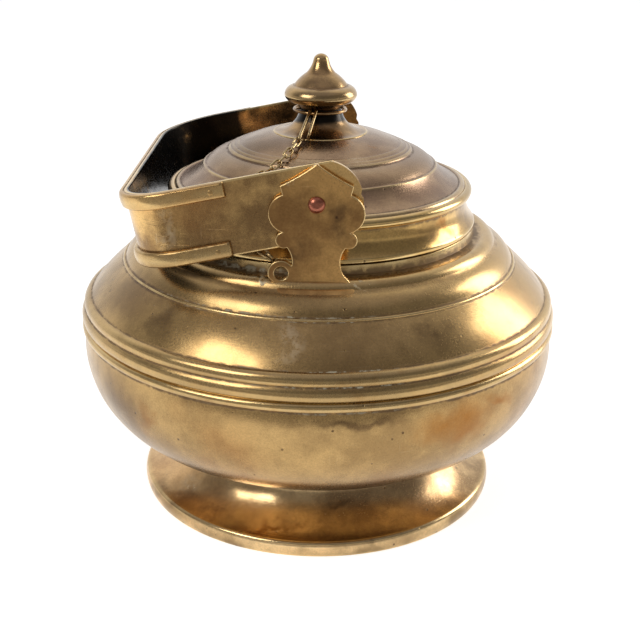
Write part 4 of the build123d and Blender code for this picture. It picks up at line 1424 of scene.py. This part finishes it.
def lug_outline():
    """Right side from the peak to the foot, then the left side back up, with the ear let into it."""
    foot_drop = -PIVOT_RISE - 4.0
    right = outline(
        (0.0, 17.9),
        ((8.6, 12.0), (15.9, 8.1)),
        (14.9, 4.2),
        ((21.0, -3.5), (15.3, -12.6)),
        ((17.9, -16.0), (12.8, -19.7)),
        ((10.6, -26.6), (12.4, -32.4)),
        (LUG_FOOT, foot_drop),
        spacing=0.7,
    )
    left = right[:0:-1] * [-1, 1]
    clear = np.hypot(left[:, 0] + EAR_OFFSET, left[:, 1] + EAR_DROP) > EAR_RADIUS
    above = left[clear & (left[:, 1] > -EAR_DROP)]
    start = np.arctan2(above[0, 1] + EAR_DROP, above[0, 0] + EAR_OFFSET)
    round_ear = np.linspace(EAR_BACK, start, EAR_POINTS)
    ear = np.column_stack([EAR_RADIUS * np.cos(round_ear), EAR_RADIUS * np.sin(round_ear)])
    below = np.array([[-LUG_FOOT, foot_drop], [-LUG_FOOT - 0.7, -EAR_DROP - 4.2]])
    return np.vstack([right, below, ear + [-EAR_OFFSET, -EAR_DROP], above])


def ring(x, y, radius, count=48):
    """Circle of points: middle plus radius times cosine and sine."""
    turn = np.linspace(0.0, 2 * np.pi, count, endpoint=False)
    return np.column_stack([x + radius * np.cos(turn), y + radius * np.sin(turn)])


def flat_plate(name, loops, thickness, worn):
    """Mesh of a plate in the XY plane from closed loops, its edges rounded by worn."""
    curve = bpy.data.curves.new(name, "CURVE")
    curve.dimensions = "2D"
    curve.fill_mode = "BOTH"
    curve.extrude = (thickness / 2 - worn) * MM
    curve.bevel_depth = worn * MM
    curve.bevel_resolution = 3
    curve.offset = -worn * MM
    for loop in loops:
        spline = curve.splines.new("POLY")
        spline.points.add(len(loop) - 1)
        flat = np.column_stack([loop * MM, np.zeros(len(loop)), np.ones(len(loop))])
        spline.points.foreach_set("co", flat.ravel())
        spline.use_cyclic_u = True
    holder = bpy.data.objects.new(name, curve)
    bpy.context.scene.collection.objects.link(holder)
    bpy.context.view_layer.update()
    mesh = bpy.data.meshes.new_from_object(holder)
    bpy.data.objects.remove(holder)
    return mesh


def build_lug(name, turn):
    """Plate stood up against the bail's pivot and turned to the front or rear, its edges rubbed."""
    loops = [lug_outline(), ring(-EAR_OFFSET, -EAR_DROP, EAR_HOLE)]
    mesh = flat_plate(name, loops, LUG_OUTER - LUG_INNER, LUG_WORN)
    stand = Matrix.Translation((0.0, -LUG_MIDDLE * MM, PIVOT_Z * MM))
    mesh.transform(Matrix.Rotation(turn, 4, "Z") @ stand @ Matrix.Rotation(np.pi / 2, 4, "X"))
    place = np.empty(len(mesh.vertices) * 3, np.float32)
    mesh.vertices.foreach_get("co", place)
    depth = np.abs(place[1::3] / MM)
    store(mesh, "ridge", np.abs(depth - LUG_MIDDLE) < LUG_HALF - 0.02)
    return shown(name, mesh, "lug_brass", LUG_SHARP)


# %% [markdown]
# Solder fills the corner between each lug's foot and the ledge. It is its own thin piece here: a
# grid that lies on the plate's face above and hugs the round ledge below. Its depth there is the
# square root of the radius squared less the width squared. Then both lugs are put up, each with
# its cove, the rear one turned half round.

# %% Solder coves
COVE_COLUMNS = 41
COVE_LIFT = 0.03
COVE_TOP_Z = LEDGE_TOP_Z + 0.6
COVE_HUG = 2.4
COVE_THINNING = 1.2
COVE_HEIGHTS = (LEDGE_Z - 1.0, LEDGE_Z + 1.0, LEDGE_TOP_Z + 2.1, EAR_Z)
COVE_HALVES = (18.6, 17.4, 12.6, 12.2)


def spun(points, turn):
    """Points turned about the pot's axis."""
    x, y, z = points.T
    return np.column_stack([x * np.cos(turn) - y * np.sin(turn), x * np.sin(turn) + y * np.cos(turn), z])


def build_cove(name, turn):
    """Grid over the plate's foot, its sides drawn in towards the pot."""
    line = outline(
        (LUG_OUTER + COVE_LIFT, EAR_Z - 1.0),
        (LUG_OUTER + COVE_LIFT, COVE_TOP_Z),
        ((LUG_OUTER + 0.9, LEDGE_Z + 2.2), (LEDGE_RADIUS + 0.4, LEDGE_Z + 0.4)),
        (LEDGE_RADIUS + 2.4, LEDGE_Z - 1.9),
        spacing=0.4,
    )
    across = np.linspace(-1.0, 1.0, COVE_COLUMNS)[None, :]
    depth, height = line[:, :1], line[:, 1:]
    width = np.interp(height, COVE_HEIGHTS, COVE_HALVES) * across
    hugging = np.clip((COVE_TOP_Z - height) / COVE_HUG, 0.0, 1.0)
    rounded = np.sqrt((depth + 0 * across) ** 2 - width**2)
    depth = depth + (rounded - depth) * hugging - COVE_THINNING * np.abs(across) ** 16
    grid = np.stack([width, -depth, height + 0 * across], axis=-1)
    faces = grid_faces(len(line), COVE_COLUMNS, False, False)
    return make_piece(name, spun(grid.reshape(-1, 3), turn), faces, "lug_brass")


for side, turn in SIDES.items():
    dress(build_lug(f"{side}_lug", turn), f"lug_{side}", "pot")
    cove = build_cove(f"{side}_lug_foot", turn)
    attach(cove, "pot")

# %% [markdown]
# The rivets are copper: a hammered dome outside the lug, a shank through both plates and a flat
# tail inside the strap. They are turned pieces too, laid on their side. Dirt and painted shade
# ring the dome where it meets the lug.

# %% Rivets
RIVET_SEGMENTS = 64
RIVET_TAIL = 3.6
RIVET_SHANK = 2.5
DOME_RADIUS = 3.75
TAIL_HEIGHT = 0.9
TAIL_IN = ARM_INNER - 0.1 - TAIL_HEIGHT
TAIL_OUT = TAIL_IN + TAIL_HEIGHT
DIRT_AND_SHADE_SPREAD = 0.35


def hammered(radius, height, angle):
    """Rivet not quite round: its radius times one and about a hundredth of two sines."""
    return radius * (1.0 + 0.012 * np.sin(3 * angle + 0.5) + 0.008 * np.sin(5 * angle)), height


def build_rivet(name, turn):
    """Outline of tail, shank and dome, measured out from the pot's axis, carried round."""
    loop = outline(
        (0.0, TAIL_IN),
        (RIVET_TAIL, TAIL_IN),
        (RIVET_TAIL, TAIL_OUT),
        (RIVET_SHANK, TAIL_OUT),
        (RIVET_SHANK, LUG_OUTER),
        (DOME_RADIUS, LUG_OUTER),
        (DOME_RADIUS - 0.03, LUG_OUTER + 0.5),
        ((2.75, LUG_OUTER + 1.65), (0.0, LUG_OUTER + 2.3)),
        spacing=0.4,
    )
    loop = anticlockwise(rubbed_round(loop, 0.2))
    points, faces = revolved(loop, RIVET_SEGMENTS, hammered)
    # dark ring where the dome meets the lug: dirt and painted shade
    dirt_and_shade = np.exp(-(((loop[:, 1] - LUG_OUTER) / DIRT_AND_SHADE_SPREAD) ** 2))
    x, y, z = points.T
    laid = spun(np.column_stack([x, -z, y + PIVOT_Z]), turn)
    return make_piece(name, laid, faces, "rivet_copper", {"crevice": np.repeat(dirt_and_shade, RIVET_SEGMENTS)})


for side, turn in SIDES.items():
    dress(build_rivet(f"{side}_rivet", turn), f"pivot_rivet_{side}", "pot")

# %% [markdown]
# Four pins hold the ends of the bail's bars. They were filed flush long ago, so each shows only as
# a very low dome: radius times cosine and height times sine of a quarter turn.

# %% Bar pins
PIN_PLACES = ((-44.0, STRAP_HALF - BAR_WIDTH / 2), (-46.5, BAR_WIDTH / 2 - STRAP_HALF))
PIN_RADIUS = 1.2
PIN_HEIGHT = 0.25
PIN_SEGMENTS = 24
PIN_SEAT = ARM_OUTER + BAR_THICKNESS + 0.2


def build_pins():
    """Four low domes, each with a short side that goes down into its bar."""
    turn = np.linspace(0.0, 2 * np.pi, PIN_SEGMENTS, endpoint=False)
    bulge = np.linspace(0.0, np.pi / 2, 6)[:, None]
    radius = PIN_RADIUS * np.cos(bulge)
    out = PIN_SEAT + PIN_HEIGHT * np.sin(bulge) + 0 * turn
    domes = []
    quads = []
    for x, z in PIN_PLACES:
        for side in (-1.0, 1.0):
            dome = np.stack([x + radius * np.cos(turn), side * out, z + radius * np.sin(turn)], axis=-1)
            dome = np.concatenate([dome[:1] * [1.0, 0.985, 1.0], dome])
            found = grid_faces(len(dome), PIN_SEGMENTS, False, True)
            quads.append((found if side > 0 else found[:, ::-1]) + len(domes) * len(dome) * PIN_SEGMENTS)
            domes.append(dome.reshape(-1, 3))
    return make_piece("bar_pin_heads", tipped(np.vstack(domes)), np.vstack(quads), "bar_brass")


dress(build_pins(), "bar_pins", "bail")

# %% [markdown]
# ## Wire, washers and the rove
#
# The chain's links, the neck wire, the hook and the washers keep their CAD shapes: at a
# millimetre thick they are already right. They only need their finish.

# %% Finishes for the CAD pieces
CAD_FINISH = {
    "strap_brass": ("pivot_washer_front", "pivot_washer_rear"),
    "lug_brass": ("knob_rove",),
    "knob_brass": ("neck_wire",),
    "wire_brass": ("long_link_left", "long_link_right", "lid_links", "turn_link", "drop_links", "ear_hook"),
}
for finish, nodes in CAD_FINISH.items():
    for node in nodes:
        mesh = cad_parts[node].data
        mesh.materials.clear()
        mesh.materials.append(FINISH[finish])
    print(finish, "on", ", ".join(nodes))
